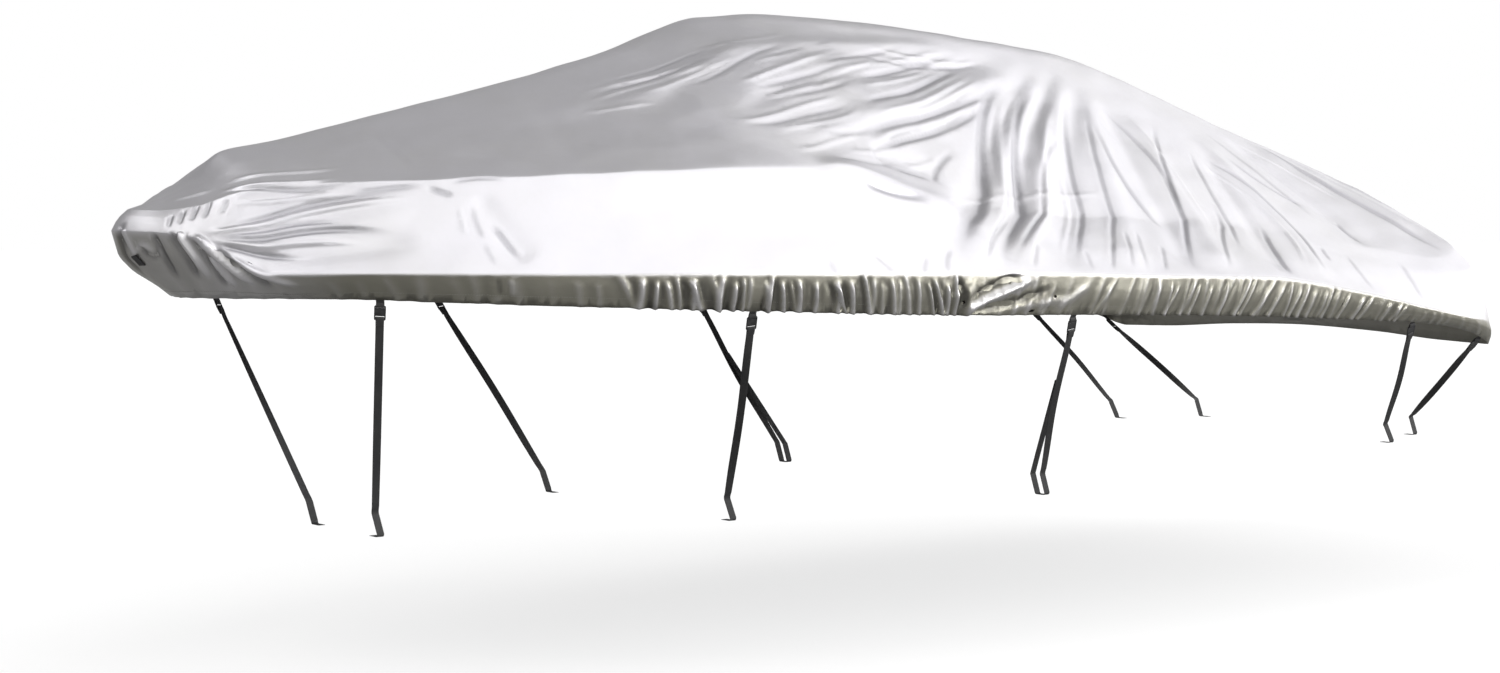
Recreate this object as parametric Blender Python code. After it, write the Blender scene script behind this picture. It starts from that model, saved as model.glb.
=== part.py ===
"""Fitted boat cover, hollow, as it hangs when it is drawn over and strapped down.

The cloth is one sheet of coated polyester. It falls from a high point amidships to a knuckle on
each side, runs out to an edge all round and turns down and in there as a hem band. Five webbing
straps on each side hang from buckles at the hem and turn inward at their feet.

Axes: +X runs from bow to stern, +Y to starboard, +Z up. Heights in the tables are above the
ground. The origin is the high point that holds the cover up, just under the cloth.
"""
import math

import bmesh
import bpy
import numpy as np
from mathutils import Matrix

# ---------------------------------------------------------------- driving sizes, metres
SUPPORT_HEIGHT = 2.049      # the point that holds the cover up, above the ground
CLOTH = 0.002               # thickness of the cloth
SEAT = 0.0004               # gap between pieces that touch
WEBBING = 0.0016            # thickness of the strap webbing
STRAP_WIDTH = 0.026
COLUMN_STEP = 0.088         # spacing of the mesh along the hem
STRAP_BAY = 0.036           # half width of the flat bay that each strap tab is sewn in

# Where the lines that run from bow to stern lie in each section, from ridge to hem.
RIDGE = 0.0
KNUCKLE = 0.50
EDGE = 0.86
HEM = 1.0
ROWS = (0.0, 0.07, 0.15, 0.235, 0.32, 0.40, 0.465, 0.51, 0.565, 0.63, 0.70, 0.765,
        0.82, 0.86, 0.90, 0.94, 1.0)

# One row for each section, from the middle of the bow along one side to the middle of the stern.
# ridge: x, height. knuckle: x, y, height of the bend between top and side.
# edge: x, y, height of the break above the hem band. hem: x, y, height of the band's lower edge.
# crown, shoulder, belly: how far the cloth stands out between those lines.
SECTION_COLUMNS = ("ridge_x", "ridge_z", "knuckle_x", "knuckle_y", "knuckle_z",
                   "edge_x", "edge_y", "edge_z", "hem_x", "hem_y", "hem_z",
                   "crown", "shoulder", "belly")
SECTIONS = (
    (-3.90, 1.463, -3.940, 0.00, 1.450, -3.990, 0.00, 1.385, -3.775, 0.00, 1.175, 0.000, 0.006, 0.070),
    (-3.87, 1.475, -3.885, 0.11, 1.450, -3.925, 0.16, 1.380, -3.750, 0.11, 1.175, 0.000, 0.006, 0.060),
    (-3.81, 1.496, -3.815, 0.20, 1.462, -3.862, 0.27, 1.365, -3.705, 0.21, 1.176, 0.004, 0.006, 0.045),
    (-3.72, 1.545, -3.720, 0.27, 1.500, -3.785, 0.37, 1.300, -3.645, 0.31, 1.177, 0.010, 0.004, 0.025),
    (-3.64, 1.632, -3.600, 0.34, 1.526, -3.680, 0.46, 1.252, -3.570, 0.41, 1.178, 0.012, -0.008, 0.012),
    (-3.42, 1.680, -3.360, 0.48, 1.538, -3.440, 0.615, 1.256, -3.390, 0.57, 1.173, 0.014, -0.012, 0.008),
    (-3.02, 1.780, -2.980, 0.66, 1.551, -3.050, 0.800, 1.252, -3.030, 0.765, 1.156, 0.016, -0.010, 0.008),
    (-2.58, 1.890, -2.560, 0.79, 1.570, -2.600, 0.945, 1.248, -2.590, 0.915, 1.138, 0.022, -0.008, 0.008),
    (-2.16, 2.010, -2.140, 0.865, 1.585, -2.150, 1.040, 1.244, -2.150, 1.010, 1.120, 0.040, -0.006, 0.008),
    (-1.76, 2.148, -1.820, 0.890, 1.588, -1.750, 1.090, 1.238, -1.750, 1.062, 1.103, 0.070, -0.004, 0.008),
    (-1.40, 2.172, -1.480, 0.905, 1.500, -1.350, 1.115, 1.232, -1.350, 1.088, 1.090, 0.074, 0.004, 0.008),
    (-1.02, 2.168, -1.040, 0.875, 1.436, -1.000, 1.127, 1.226, -1.000, 1.100, 1.083, 0.040, 0.008, 0.008),
    (-0.50, 2.130, -0.510, 0.850, 1.412, -0.500, 1.130, 1.209, -0.500, 1.104, 1.068, 0.006, 0.004, 0.008),
    (0.00, 2.080, 0.010, 0.840, 1.392, 0.020, 1.130, 1.194, 0.020, 1.104, 1.049, -0.012, 0.000, 0.008),
    (0.50, 1.944, 0.510, 0.840, 1.336, 0.520, 1.126, 1.130, 0.530, 1.098, 1.022, 0.002, 0.004, 0.010),
    (0.92, 1.806, 0.930, 0.850, 1.286, 0.940, 1.112, 1.056, 0.950, 1.082, 0.998, 0.008, 0.010, 0.012),
    (1.13, 1.742, 1.225, 0.925, 1.244, 1.250, 1.092, 1.008, 1.270, 1.058, 0.950, 0.012, 0.034, 0.014),
    (1.20, 1.720, 1.362, 0.900, 1.282, 1.402, 1.040, 0.992, 1.436, 1.010, 0.896, 0.008, 0.044, 0.014),
    (1.25, 1.702, 1.385, 0.620, 1.418, 1.446, 0.760, 1.000, 1.464, 0.745, 0.902, 0.004, 0.022, 0.014),
    (1.285, 1.690, 1.366, 0.290, 1.560, 1.462, 0.380, 1.018, 1.474, 0.375, 0.925, 0.002, 0.014, 0.014),
    (1.310, 1.680, 1.370, 0.00, 1.620, 1.466, 0.00, 1.026, 1.477, 0.00, 0.935, 0.002, 0.012, 0.014),
)

# Folds and creases. Each runs over the cloth from one place to another. A place is its distance
# from the bow along the edge, and how far down its section it lies, 0 at the ridge and 1 at the
# hem. bend moves the fold's middle aft of a straight run. rise is its height at the middle,
# below zero for a trough; width is its half width; flare is how much wider it ends.
FOLD_COLUMNS = ("from_along", "from_down", "to_along", "to_down", "bend", "rise", "width", "flare")
PORT_FOLDS = (
    # fan from the high point to the edge
    (4.24, 0.06, 2.93, 0.84, -0.25, -0.014, 0.045, 1.5),
    (4.30, 0.06, 3.03, 0.84, -0.24, 0.015, 0.045, 1.5),
    (4.34, 0.06, 3.12, 0.84, -0.22, -0.017, 0.045, 1.4),
    (4.38, 0.07, 3.20, 0.85, -0.20, 0.012, 0.045, 1.4),
    (4.40, 0.10, 3.41, 0.85, -0.18, -0.010, 0.045, 1.3),
    (4.43, 0.10, 3.72, 0.84, -0.10, 0.010, 0.050, 1.4),
    (4.46, 0.12, 4.02, 0.84, -0.05, -0.011, 0.045, 1.2),
    (4.56, 0.16, 4.22, 0.84, -0.04, 0.010, 0.045, 1.2),
    (4.86, 0.22, 4.54, 0.84, -0.06, -0.012, 0.045, 1.2),
    (4.93, 0.18, 4.75, 0.84, 0.03, 0.011, 0.045, 1.2),
    (5.20, 0.10, 5.30, 0.52, 0.05, -0.012, 0.045, 1.2),
    (5.45, 0.05, 5.76, 0.43, 0.10, 0.010, 0.050, 1.2),
    # taut wrinkles that rise from the knuckle to the high point
    (1.92, 0.23, 3.85, 0.05, 0.00, 0.008, 0.045, 1.0),
    (2.30, 0.36, 4.05, 0.06, 0.00, -0.009, 0.045, 1.0),
    (2.50, 0.46, 4.05, 0.10, 0.00, 0.010, 0.045, 1.0),
    (2.50, 0.50, 3.20, 0.54, 0.00, 0.014, 0.045, 1.4),
    (2.90, 0.43, 3.22, 0.44, 0.00, -0.012, 0.060, 1.2),
    # bow: cross crease over the knuckle, then tension streaks low on its front
    (1.16, 0.07, 1.05, 0.52, 0.00, -0.009, 0.045, 1.0),
    (0.34, 0.77, 1.05, 0.61, 0.00, 0.009, 0.040, 1.0),
    (0.37, 0.82, 1.05, 0.72, 0.00, -0.009, 0.040, 1.0),
    (1.20, 0.55, 1.38, 0.82, 0.00, -0.008, 0.040, 1.0),
    # slack in the long flat stretches
    (1.60, 0.25, 2.30, 0.30, 0.00, -0.012, 0.180, 1.0),
    (1.50, 0.68, 2.60, 0.68, 0.00, -0.006, 0.110, 1.0),
    # the bunch where two lengths of hem meet
    (2.92, 0.90, 2.98, 1.00, 0.00, 0.014, 0.045, 1.0),
    (3.25, 0.87, 2.95, 0.98, 0.00, -0.008, 0.035, 1.0),
)
STARBOARD_FOLDS = (
    (4.26, 0.06, 3.02, 0.84, -0.22, 0.014, 0.050, 1.5),
    (4.34, 0.07, 3.24, 0.84, -0.20, -0.015, 0.045, 1.4),
    (4.40, 0.07, 3.50, 0.84, -0.16, 0.011, 0.045, 1.4),
    (4.46, 0.11, 3.86, 0.84, -0.08, -0.011, 0.045, 1.3),
    (4.62, 0.15, 4.34, 0.84, -0.04, 0.011, 0.045, 1.2),
    (4.90, 0.18, 4.70, 0.84, 0.02, -0.011, 0.045, 1.2),
    (5.24, 0.08, 5.42, 0.60, 0.05, 0.010, 0.045, 1.2),
    (2.10, 0.28, 3.95, 0.06, 0.00, -0.009, 0.045, 1.0),
    (2.46, 0.44, 4.05, 0.10, 0.00, 0.010, 0.045, 1.0),
    (2.50, 0.50, 3.15, 0.54, 0.00, 0.012, 0.045, 1.4),
    (1.10, 0.08, 1.22, 0.52, 0.00, -0.009, 0.045, 1.0),
    (0.36, 0.79, 1.00, 0.66, 0.00, 0.009, 0.040, 1.0),
    (1.70, 0.26, 2.40, 0.28, 0.00, -0.012, 0.180, 1.0),
    (1.60, 0.68, 2.70, 0.68, 0.00, -0.006, 0.110, 1.0),
    (3.40, 0.90, 3.46, 1.00, 0.00, 0.012, 0.045, 1.0),
    # slack across the stern
    (6.10, 0.20, 6.20, 0.90, 0.00, -0.010, 0.100, 1.3),
    (6.60, 0.15, 6.66, 0.90, 0.00, 0.009, 0.090, 1.3),
)

# Straps, one row for each station along the hem. anchor_x, anchor_y and foot_z are where the
# webbing turns inward to be tied, twist is the turn of the webbing at its middle in degrees, sway
# is how far its middle leans aft, and tail is the height to which the webbing comes back up behind
# itself, 0 where it ends in its foot.
STRAP_COLUMNS = ("hem_x", "anchor_x", "anchor_y", "foot_z", "twist", "sway", "tail")
STRAPS = (
    (-3.385, -3.20, 0.22, 0.400, 8, 0.000, 0.0),
    (-2.265, -2.05, 0.565, 0.400, 42, 0.006, 0.0),
    (-0.955, -0.79, 0.770, 0.420, 14, -0.012, 0.85),
    (0.885, 1.10, 0.770, 0.500, 18, 0.012, 0.0),
    (1.345, 1.47, 0.600, 0.500, 62, 0.004, 0.0),
)
ANCHOR_DEPTH = 0.075        # height of the webbing's upright stretch above its foot
FOOT_LENGTH = 0.050         # webbing turned inward
BEND = 0.008                # size of the webbing's turn into its foot
TAIL_GAP = 0.008            # between a tail's end and the leg in front of it
TAB_LENGTH = 0.034          # webbing sewn to the inside of the hem
TAB_TURN = 0.006            # from the hem's lower edge to the tab's turn towards the buckle
TAB_DROP = 0.016            # webbing between that turn and the buckle
BUCKLE = (0.036, 0.050, 0.009)   # width, length, thickness
BUCKLE_BEVEL = 0.0022
LOOP = (0.025, 0.042, 0.0024)    # width, length, thickness of the loop at the bow
LOOP_BEVEL = 0.0006
LOOP_ROW = ROWS.index(0.90)      # row of the cloth's mesh that the loop is sewn to

# ---------------------------------------------------------------- colours and finishes
CLOTH_FINISH = ((0.62, 0.62, 0.66, 1.0), 0.42, 0.35)
WEBBING_FINISH = ((0.012, 0.012, 0.013, 1.0), 0.78, 0.0)
PLASTIC_FINISH = ((0.014, 0.014, 0.015, 1.0), 0.42, 0.0)


# ---------------------------------------------------------------- the cloth's surface
SECTION_KNOTS = (RIDGE, KNUCKLE / 2, KNUCKLE, (KNUCKLE + EDGE) / 2, EDGE, (EDGE + HEM) / 2, HEM)
ROUNDING_AT = (RIDGE, KNUCKLE, EDGE, HEM)
ROUNDING = (0.032, 0.018, 0.020, 0.010)     # how softly the cloth breaks there, as a share of a section
ROUNDING_TAPS = (-1.0, -0.5, 0.0, 0.5, 1.0)
LAST_SECTION = len(SECTIONS) - 1
FINE_STEPS = 40


def section_column(name, t):
    """One column of the section table, read with a monotone cubic t sections from the bow."""
    values = np.array([row[SECTION_COLUMNS.index(name)] for row in SECTIONS])
    steps = np.diff(values)
    slopes = np.zeros(len(values))
    product = steps[:-1] * steps[1:]
    total = steps[:-1] + steps[1:]
    rising = product > 0
    slopes[1:-1][rising] = 2 * product[rising] / total[rising]
    if name.endswith("_y") or name.startswith("ridge"):
        slopes[0] = steps[0]
        slopes[-1] = steps[-1]
    start = np.clip(np.floor(t), 0, LAST_SECTION - 1).astype(int)
    q = t - start
    rise = steps[start]
    return (values[start] + q * slopes[start]
            + q ** 2 * (3 * rise - 2 * slopes[start] - slopes[start + 1])
            + q ** 3 * (slopes[start] + slopes[start + 1] - 2 * rise))


def section_lines(t):
    """The cloth's shape at t: ridge, crown, knuckle, shoulder, edge, belly and hem."""
    def line(name, y):
        return np.stack([section_column(name + "_x", t), y, section_column(name + "_z", t)], axis=-1)
    ridge = line("ridge", np.zeros_like(t))
    knuckle = line("knuckle", section_column("knuckle_y", t))
    edge = line("edge", section_column("edge_y", t))
    hem = line("hem", section_column("hem_y", t))
    outward = (edge - ridge) * (1.0, 1.0, 0.0)
    outward /= np.linalg.norm(outward, axis=-1, keepdims=True)
    up = np.array([0.0, 0.0, 1.0])
    crown = (ridge + knuckle) / 2 + up * section_column("crown", t)[..., None]
    shoulder = (knuckle + edge) / 2 + (outward + up) * section_column("shoulder", t)[..., None]
    belly = (edge + hem) / 2 + outward * section_column("belly", t)[..., None]
    return np.stack([ridge, crown, knuckle, shoulder, edge, belly, hem])


def cloth_point(t, down, side):
    """Points of the smooth cloth, t sections from the bow and down from ridge to hem."""
    t, down, side = np.broadcast_arrays(np.asarray(t, float), down, side)
    lines = section_lines(t)
    spread = np.minimum(np.interp(down, ROUNDING_AT, ROUNDING), HEM - down)
    total = np.zeros(t.shape + (3,))
    for tap in ROUNDING_TAPS:
        at = down + spread * tap
        point = np.stack([_along_knots(lines[..., axis], np.abs(at)) for axis in range(3)], axis=-1)
        point[..., 1] *= side * np.where(at < 0, -1.0, 1.0)
        total += point
    return total / len(ROUNDING_TAPS)


def _along_knots(values, at):
    """Straight runs between the seven lines of a section, read at a share of its girth."""
    result = np.zeros(at.shape)
    at = np.clip(at, RIDGE, HEM)
    for k in range(len(SECTION_KNOTS) - 1):
        low, high = SECTION_KNOTS[k], SECTION_KNOTS[k + 1]
        inside = (at >= low) & (at <= high)
        share = (at - low) / (high - low)
        result = np.where(inside, values[k] * (1 - share) + values[k + 1] * share, result)
    return result


FINE_T = np.linspace(0.0, LAST_SECTION, LAST_SECTION * FINE_STEPS + 1)
EDGE_LINE = section_lines(FINE_T)[4]
FINE_ALONG = np.concatenate([[0.0], np.cumsum(np.linalg.norm(np.diff(EDGE_LINE, axis=0), axis=1))])
EDGE_LENGTH = FINE_ALONG[-1]


def t_from_along(along):
    """Section number at a distance from the bow, measured along the edge."""
    return np.interp(along, FINE_ALONG, FINE_T)


def along_from_hem_x(x):
    """Distance from the bow along the edge of the section whose hem is at x."""
    return float(np.interp(x, section_column("hem_x", FINE_T), FINE_ALONG))


# ---------------------------------------------------------------- folds
FOLD_STEPS = 12
FOLD_ONSET = 0.18           # share of a fold's length over which it rises


def fold_height(points, fold, side):
    """How far one fold lifts the cloth at each point."""
    row = dict(zip(FOLD_COLUMNS, fold))
    share = np.linspace(0.0, 1.0, FOLD_STEPS + 1)
    along = row["from_along"] + (row["to_along"] - row["from_along"]) * share
    along += row["bend"] * np.sin(math.pi * share)
    down = row["from_down"] + (row["to_down"] - row["from_down"]) * share
    path = cloth_point(t_from_along(along), down, side)
    nearest = np.full(len(points), np.inf)
    place = np.zeros(len(points))
    for k in range(FOLD_STEPS):
        run = path[k + 1] - path[k]
        q = np.clip((points - path[k]) @ run / (run @ run), 0.0, 1.0)
        distance = np.linalg.norm(points - path[k] - q[:, None] * run, axis=1)
        closer = distance < nearest
        nearest[closer] = distance[closer]
        place[closer] = (k + q[closer]) / FOLD_STEPS
    width = row["width"] * (1 + (row["flare"] - 1) * place)
    ends = np.minimum(1.0, np.minimum(place, 1 - place) / FOLD_ONSET)
    return row["rise"] * np.sin(ends * math.pi / 2) ** 2 * np.exp(-(nearest / width) ** 2)


def folds(points):
    """How far all folds lift the cloth at each point."""
    lift = np.zeros(len(points))
    for side, table in ((-1, PORT_FOLDS), (1, STARBOARD_FOLDS)):
        for fold in table:
            lift += fold_height(points, fold, side)
    return lift


# ---------------------------------------------------------------- the cloth's mesh
LEAST_AREA = 1e-12          # keeps the test of a flat triangle from dividing by zero


def column_places():
    """Distances along the edge of one side's columns, and the first column of each strap's bay."""
    middles = [along_from_hem_x(row[0]) for row in STRAPS]
    stops = [0.0, EDGE_LENGTH]
    for middle in middles:
        stops += [middle - STRAP_BAY, middle + STRAP_BAY]
    stops.sort()
    places = [0.0]
    for start, end in zip(stops, stops[1:]):
        count = max(1, round((end - start) / COLUMN_STEP))
        places += list(np.linspace(start, end, count + 1)[1:])
    bays = [int(np.argmin(np.abs(np.array(places) - (middle - STRAP_BAY)))) for middle in middles]
    return np.array(places), bays


def vertex_normals(points, triangles):
    """Outward normals, each the sum of its triangles' area vectors."""
    a, b, c = points[triangles].transpose(1, 0, 2)
    area = np.cross(b - a, c - a)
    normals = np.zeros_like(points)
    for corner in range(3):
        np.add.at(normals, triangles[:, corner], area)
    return normals / np.linalg.norm(normals, axis=1, keepdims=True)


class Sheet:
    """The cloth as a ring of columns from ridge to hem: aft along port, then back on starboard."""

    def __init__(self):
        places, self.bays = column_places()
        self.half = len(places) - 1
        self.ring = 2 * self.half
        rows = np.array(ROWS)
        order = list(range(self.half + 1)) + list(range(self.half - 1, 0, -1))
        t = t_from_along(places)
        side = np.array([-1.0] * (self.half + 1) + [1.0] * (self.half - 1))
        ridge = cloth_point(t, RIDGE, -1.0)
        skirt = cloth_point(t[order][:, None], rows[None, 1:], side[:, None])
        self.outer = np.concatenate([ridge, skirt.reshape(-1, 3)])
        self.triangles = self._triangles()
        flat = vertex_normals(self.outer, self.triangles)
        self.outer = self.outer + flat * folds(self.outer)[:, None]
        self.outer[:, 2] -= SUPPORT_HEIGHT
        self.normals = vertex_normals(self.outer, self.triangles)
        self.inner = self.outer - self.normals * CLOTH

    def index(self, column, row):
        """Vertex number of a place in the ring."""
        column %= self.ring
        if row == 0:
            return min(column, self.ring - column)
        return self.half + 1 + column * (len(ROWS) - 1) + row - 1

    def _triangles(self):
        """Each four-cornered cell, cut along the diagonal that leaves the less thin triangles."""
        found = []
        for column in range(self.ring):
            for row in range(len(ROWS) - 1):
                a = self.index(column, row)
                b = self.index(column, row + 1)
                c = self.index(column + 1, row + 1)
                d = self.index(column + 1, row)
                cuts = ((a, b, c), (a, c, d)), ((a, b, d), (b, c, d))
                if row == 0 and column % self.half == 0:
                    found += cuts[0]    # the other cut would leave a flap on the centreline
                elif row == 0 and (column + 1) % self.half == 0:
                    found += cuts[1]
                else:
                    found += min(cuts, key=self._thinness)
        return np.array(found)

    def _thinness(self, pair):
        """Length of the cut shared by two triangles, squared, over the smaller one's area."""
        areas = []
        for triangle in pair:
            p, q, r = self.outer[list(triangle)]
            areas.append(np.linalg.norm(np.cross(q - p, r - p)))
        shared = sorted(set(pair[0]) & set(pair[1]))
        cut = self.outer[shared[0]] - self.outer[shared[1]]
        return (cut @ cut) / max(min(areas), LEAST_AREA)

    def faces(self):
        """Outer skin, inner skin and the hem's lower edge as one closed shell."""
        count = len(self.outer)
        shell = [tuple(face) for face in self.triangles]
        shell += [tuple(int(v) + count for v in face[::-1]) for face in self.triangles]
        for column in range(self.ring):
            a = self.index(column, len(ROWS) - 1)
            b = self.index(column + 1, len(ROWS) - 1)
            shell.append((a, a + count, b + count, b))
        return shell

    def cell(self, column, row, side, skin):
        """Corners of one cell: lower fore, lower aft, upper aft, upper fore."""
        columns = (column, column + 1)
        if side > 0:
            columns = (self.ring - column, self.ring - column - 1)
        fore, aft = columns
        corners = ((fore, row + 1), (aft, row + 1), (aft, row), (fore, row))
        return np.array([skin[self.index(*corner)] for corner in corners])


# ---------------------------------------------------------------- building blocks
def unit(vector):
    return np.asarray(vector, float) / np.linalg.norm(vector)


def make_material(name, finish):
    colour, roughness, metallic = finish
    material = bpy.data.materials.new(name)
    material.use_nodes = True
    shader = material.node_tree.nodes["Principled BSDF"]
    shader.inputs["Base Color"].default_value = colour
    shader.inputs["Roughness"].default_value = roughness
    shader.inputs["Metallic"].default_value = metallic
    material.diffuse_color = colour
    return material


def add_object(name, points, faces, finish):
    """One closed body with its faces turned out and its own material."""
    mesh = bpy.data.meshes.new(name)
    mesh.from_pydata([tuple(point) for point in points], [], faces)
    body = bmesh.new()
    body.from_mesh(mesh)
    bmesh.ops.recalc_face_normals(body, faces=body.faces)
    body.to_mesh(mesh)
    body.free()
    mesh.materials.append(make_material(name, finish))
    thing = bpy.data.objects.new(name, mesh)
    bpy.context.scene.collection.objects.link(thing)
    return thing


def add_ribbon(name, path, across, width, finish, thickness=WEBBING):
    """Webbing along a path; across gives the direction of its width at each point."""
    path = np.array(path)
    tangents = np.gradient(path, axis=0)
    points = []
    for place, run, sideways in zip(path, tangents, across):
        sideways = unit(sideways - run * (run @ sideways) / (run @ run))
        through = unit(np.cross(run, sideways))
        for s, h in ((-1, -1), (1, -1), (1, 1), (-1, 1)):
            points.append(place + sideways * s * width / 2 + through * h * thickness / 2)
    faces = [(3, 2, 1, 0)]
    for start in range(0, len(points) - 4, 4):
        for corner in range(4):
            after = (corner + 1) % 4
            a, b, c, d = start + corner, start + after, start + 4 + after, start + 4 + corner
            if corner < 2:
                faces += [(a, b, c), (a, c, d)]
            else:
                faces += [(a, b, d), (b, c, d)]    # both flat sides are cut the same way
    end = len(points) - 4
    faces.append((end, end + 1, end + 2, end + 3))
    return add_object(name, points, faces, finish)


def add_plate(name, middle, across, down, size, finish, bevel):
    """A bevelled plate: size is its width across, its length down and its thickness."""
    through = unit(np.cross(across, down))
    across = unit(np.cross(down, through))
    body = bmesh.new()
    bmesh.ops.create_cube(body, size=1.0)
    bmesh.ops.scale(body, vec=size, verts=body.verts)
    bmesh.ops.bevel(body, geom=body.edges, offset=bevel, segments=1, affect="EDGES", profile=0.5)
    mesh = bpy.data.meshes.new(name)
    body.to_mesh(mesh)
    body.free()
    mesh.materials.append(make_material(name, finish))
    thing = bpy.data.objects.new(name, mesh)
    bpy.context.scene.collection.objects.link(thing)
    frame = np.eye(4)
    frame[:3, 0] = across
    frame[:3, 1] = unit(down)
    frame[:3, 2] = through
    frame[:3, 3] = middle
    thing.matrix_world = Matrix(frame.tolist())
    return thing


# ---------------------------------------------------------------- straps
LEG_STEPS = 10


def hem_seat(sheet, bay, side):
    """Middle of the hem inside a bay, with its run aft, its run down and its normal inward."""
    last_row = len(ROWS) - 2
    fore_low, aft_low, aft_high, fore_high = sheet.cell(sheet.bays[bay], last_row, side, sheet.inner)
    outer = sheet.cell(sheet.bays[bay], last_row, side, sheet.outer)
    run = unit(aft_low - fore_low + aft_high - fore_high)
    down = fore_low + aft_low - fore_high - aft_high
    down = unit(down - run * (down @ run))
    inward = np.cross(run, down)
    if inward @ (outer[0] - fore_low) > 0:
        inward = -inward
    middle = (fore_low + aft_low) / 2
    depth = max((corner - middle) @ inward for corner in (fore_low, aft_low, aft_high, fore_high))
    return middle + inward * depth, run, down, inward


def make_strap(sheet, station, side):
    """The hem tab, the buckle and the webbing down to its foot at one station."""
    row = dict(zip(STRAP_COLUMNS, STRAPS[station]))
    name = f"{'port' if side < 0 else 'starboard'}_{station + 1}"
    hem, run, down, inward = hem_seat(sheet, station, side)
    anchor = np.array([row["anchor_x"], side * row["anchor_y"], row["foot_z"] - SUPPORT_HEIGHT])
    anchor_top = anchor + (0.0, 0.0, ANCHOR_DEPTH)

    seat = hem + inward * (SEAT + WEBBING / 2)
    turn = seat + down * TAB_TURN
    pull = unit(anchor_top - turn)
    top = seat - down * TAB_LENGTH
    level = unit(run - pull * (run @ pull))
    tab = [top, (top + seat) / 2, seat, turn, turn + pull * TAB_DROP]
    add_ribbon("tab_" + name, tab, [run, run, run, level, level], STRAP_WIDTH, WEBBING_FINISH)

    width, length, thickness = BUCKLE
    buckle_top = tab[-1] + pull * SEAT
    add_plate("buckle_" + name, buckle_top + pull * length / 2, level, pull,
              (width, length, thickness), PLASTIC_FINISH, BUCKLE_BEVEL)

    start = buckle_top + pull * (length + SEAT)
    aft = np.array([1.0, 0.0, 0.0])
    up = np.array([0.0, 0.0, 1.0])
    inboard = np.array([0.0, -side, 0.0])

    def hang(q):
        """Middle of the webbing between the buckle and its upright stretch."""
        return start + (anchor_top - start) * q + aft * row["sway"] * math.sin(math.pi * q) ** 2

    leg, across = [], []
    for q in np.linspace(0.0, 1.0, LEG_STEPS + 1):
        leg.append(hang(q))
        turned = unit(level * (1 - q) + aft * q)
        angle = math.radians(row["twist"]) * math.sin(math.pi * q)
        across.append(turned * math.cos(angle) + np.cross(pull, turned) * math.sin(angle))
    lean = aft * pull[0] / -pull[2] * ANCHOR_DEPTH
    corner = anchor + lean
    leg += [corner + up * BEND, corner + inboard * BEND, corner + inboard * 2 * BEND]
    if row["tail"]:
        height = row["tail"] - SUPPORT_HEIGHT
        meeting = hang((start[2] - height) / (start[2] - anchor_top[2]))
        far = corner + inboard * FOOT_LENGTH
        leg += [far - inboard * 2 * BEND, far - inboard * BEND, far + up * BEND,
                far - lean + up * ANCHOR_DEPTH, meeting + inboard * TAIL_GAP]
    else:
        leg.append(corner + inboard * FOOT_LENGTH)
    across += [aft] * (len(leg) - len(across))
    add_ribbon("strap_" + name, leg, across, STRAP_WIDTH, WEBBING_FINISH)


def make_bow_loop(sheet):
    """The short webbing loop sewn flat to the front of the bow, just above the hem."""
    fore_low, aft_low, aft_high, fore_high = sheet.cell(0, LOOP_ROW, -1, sheet.outer)
    corners = np.array([fore_low, aft_low, aft_high, fore_high])
    run = unit(aft_low - fore_low + aft_high - fore_high)
    down = unit(fore_low + aft_low - fore_high - aft_high)
    forward = unit(np.cross(run, down))
    if forward[0] > 0:
        forward = -forward
    middle = corners.mean(axis=0)
    lift = max((corner - middle) @ forward for corner in corners)
    add_plate("bow_loop", middle + forward * (lift + SEAT + LOOP[2] / 2), run, down, LOOP,
              WEBBING_FINISH, LOOP_BEVEL)


# ---------------------------------------------------------------- the whole cover
def main():
    for thing in list(bpy.data.objects):
        bpy.data.objects.remove(thing, do_unlink=True)
    sheet = Sheet()
    cover = add_object("cover", np.concatenate([sheet.outer, sheet.inner]), sheet.faces(), CLOTH_FINISH)
    cover.data.shade_smooth()
    for station in range(len(STRAPS)):
        for side in (-1, 1):
            make_strap(sheet, station, side)
    make_bow_loop(sheet)


main()
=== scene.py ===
"""Looks of a fitted boat cover: its cloth with every fold and pleat, webbing straps and buckles.

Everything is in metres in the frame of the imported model: +X from bow to stern, +Y to starboard, +Z
up, and the origin at the support under the cloth, which its folds run to. Each piece but the row of
stitches takes the place of its CAD node.
"""
import math

import bmesh
import bpy
import numpy as np
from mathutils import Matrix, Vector


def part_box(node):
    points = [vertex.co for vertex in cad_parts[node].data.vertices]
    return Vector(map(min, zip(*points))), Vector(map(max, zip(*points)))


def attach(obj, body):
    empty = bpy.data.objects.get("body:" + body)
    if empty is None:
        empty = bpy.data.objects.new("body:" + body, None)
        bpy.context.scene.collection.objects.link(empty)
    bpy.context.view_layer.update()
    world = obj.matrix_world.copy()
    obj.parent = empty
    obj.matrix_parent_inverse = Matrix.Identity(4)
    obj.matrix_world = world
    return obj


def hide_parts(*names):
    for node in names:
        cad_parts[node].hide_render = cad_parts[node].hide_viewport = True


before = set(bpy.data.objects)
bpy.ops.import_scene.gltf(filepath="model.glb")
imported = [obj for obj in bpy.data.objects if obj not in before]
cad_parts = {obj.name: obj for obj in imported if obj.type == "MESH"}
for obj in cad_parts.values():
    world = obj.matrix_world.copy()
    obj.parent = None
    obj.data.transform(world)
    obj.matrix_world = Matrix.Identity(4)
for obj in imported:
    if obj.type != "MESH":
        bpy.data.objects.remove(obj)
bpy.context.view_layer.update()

# ================================================================ the cloth's main shape
SUPPORT_HEIGHT = 2.049      # the origin above the ground
CLOTH = 0.002               # thickness of the cloth at its hem
RIDGE, KNUCKLE, EDGE, HEM = 0.0, 0.50, 0.86, 1.0

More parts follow.
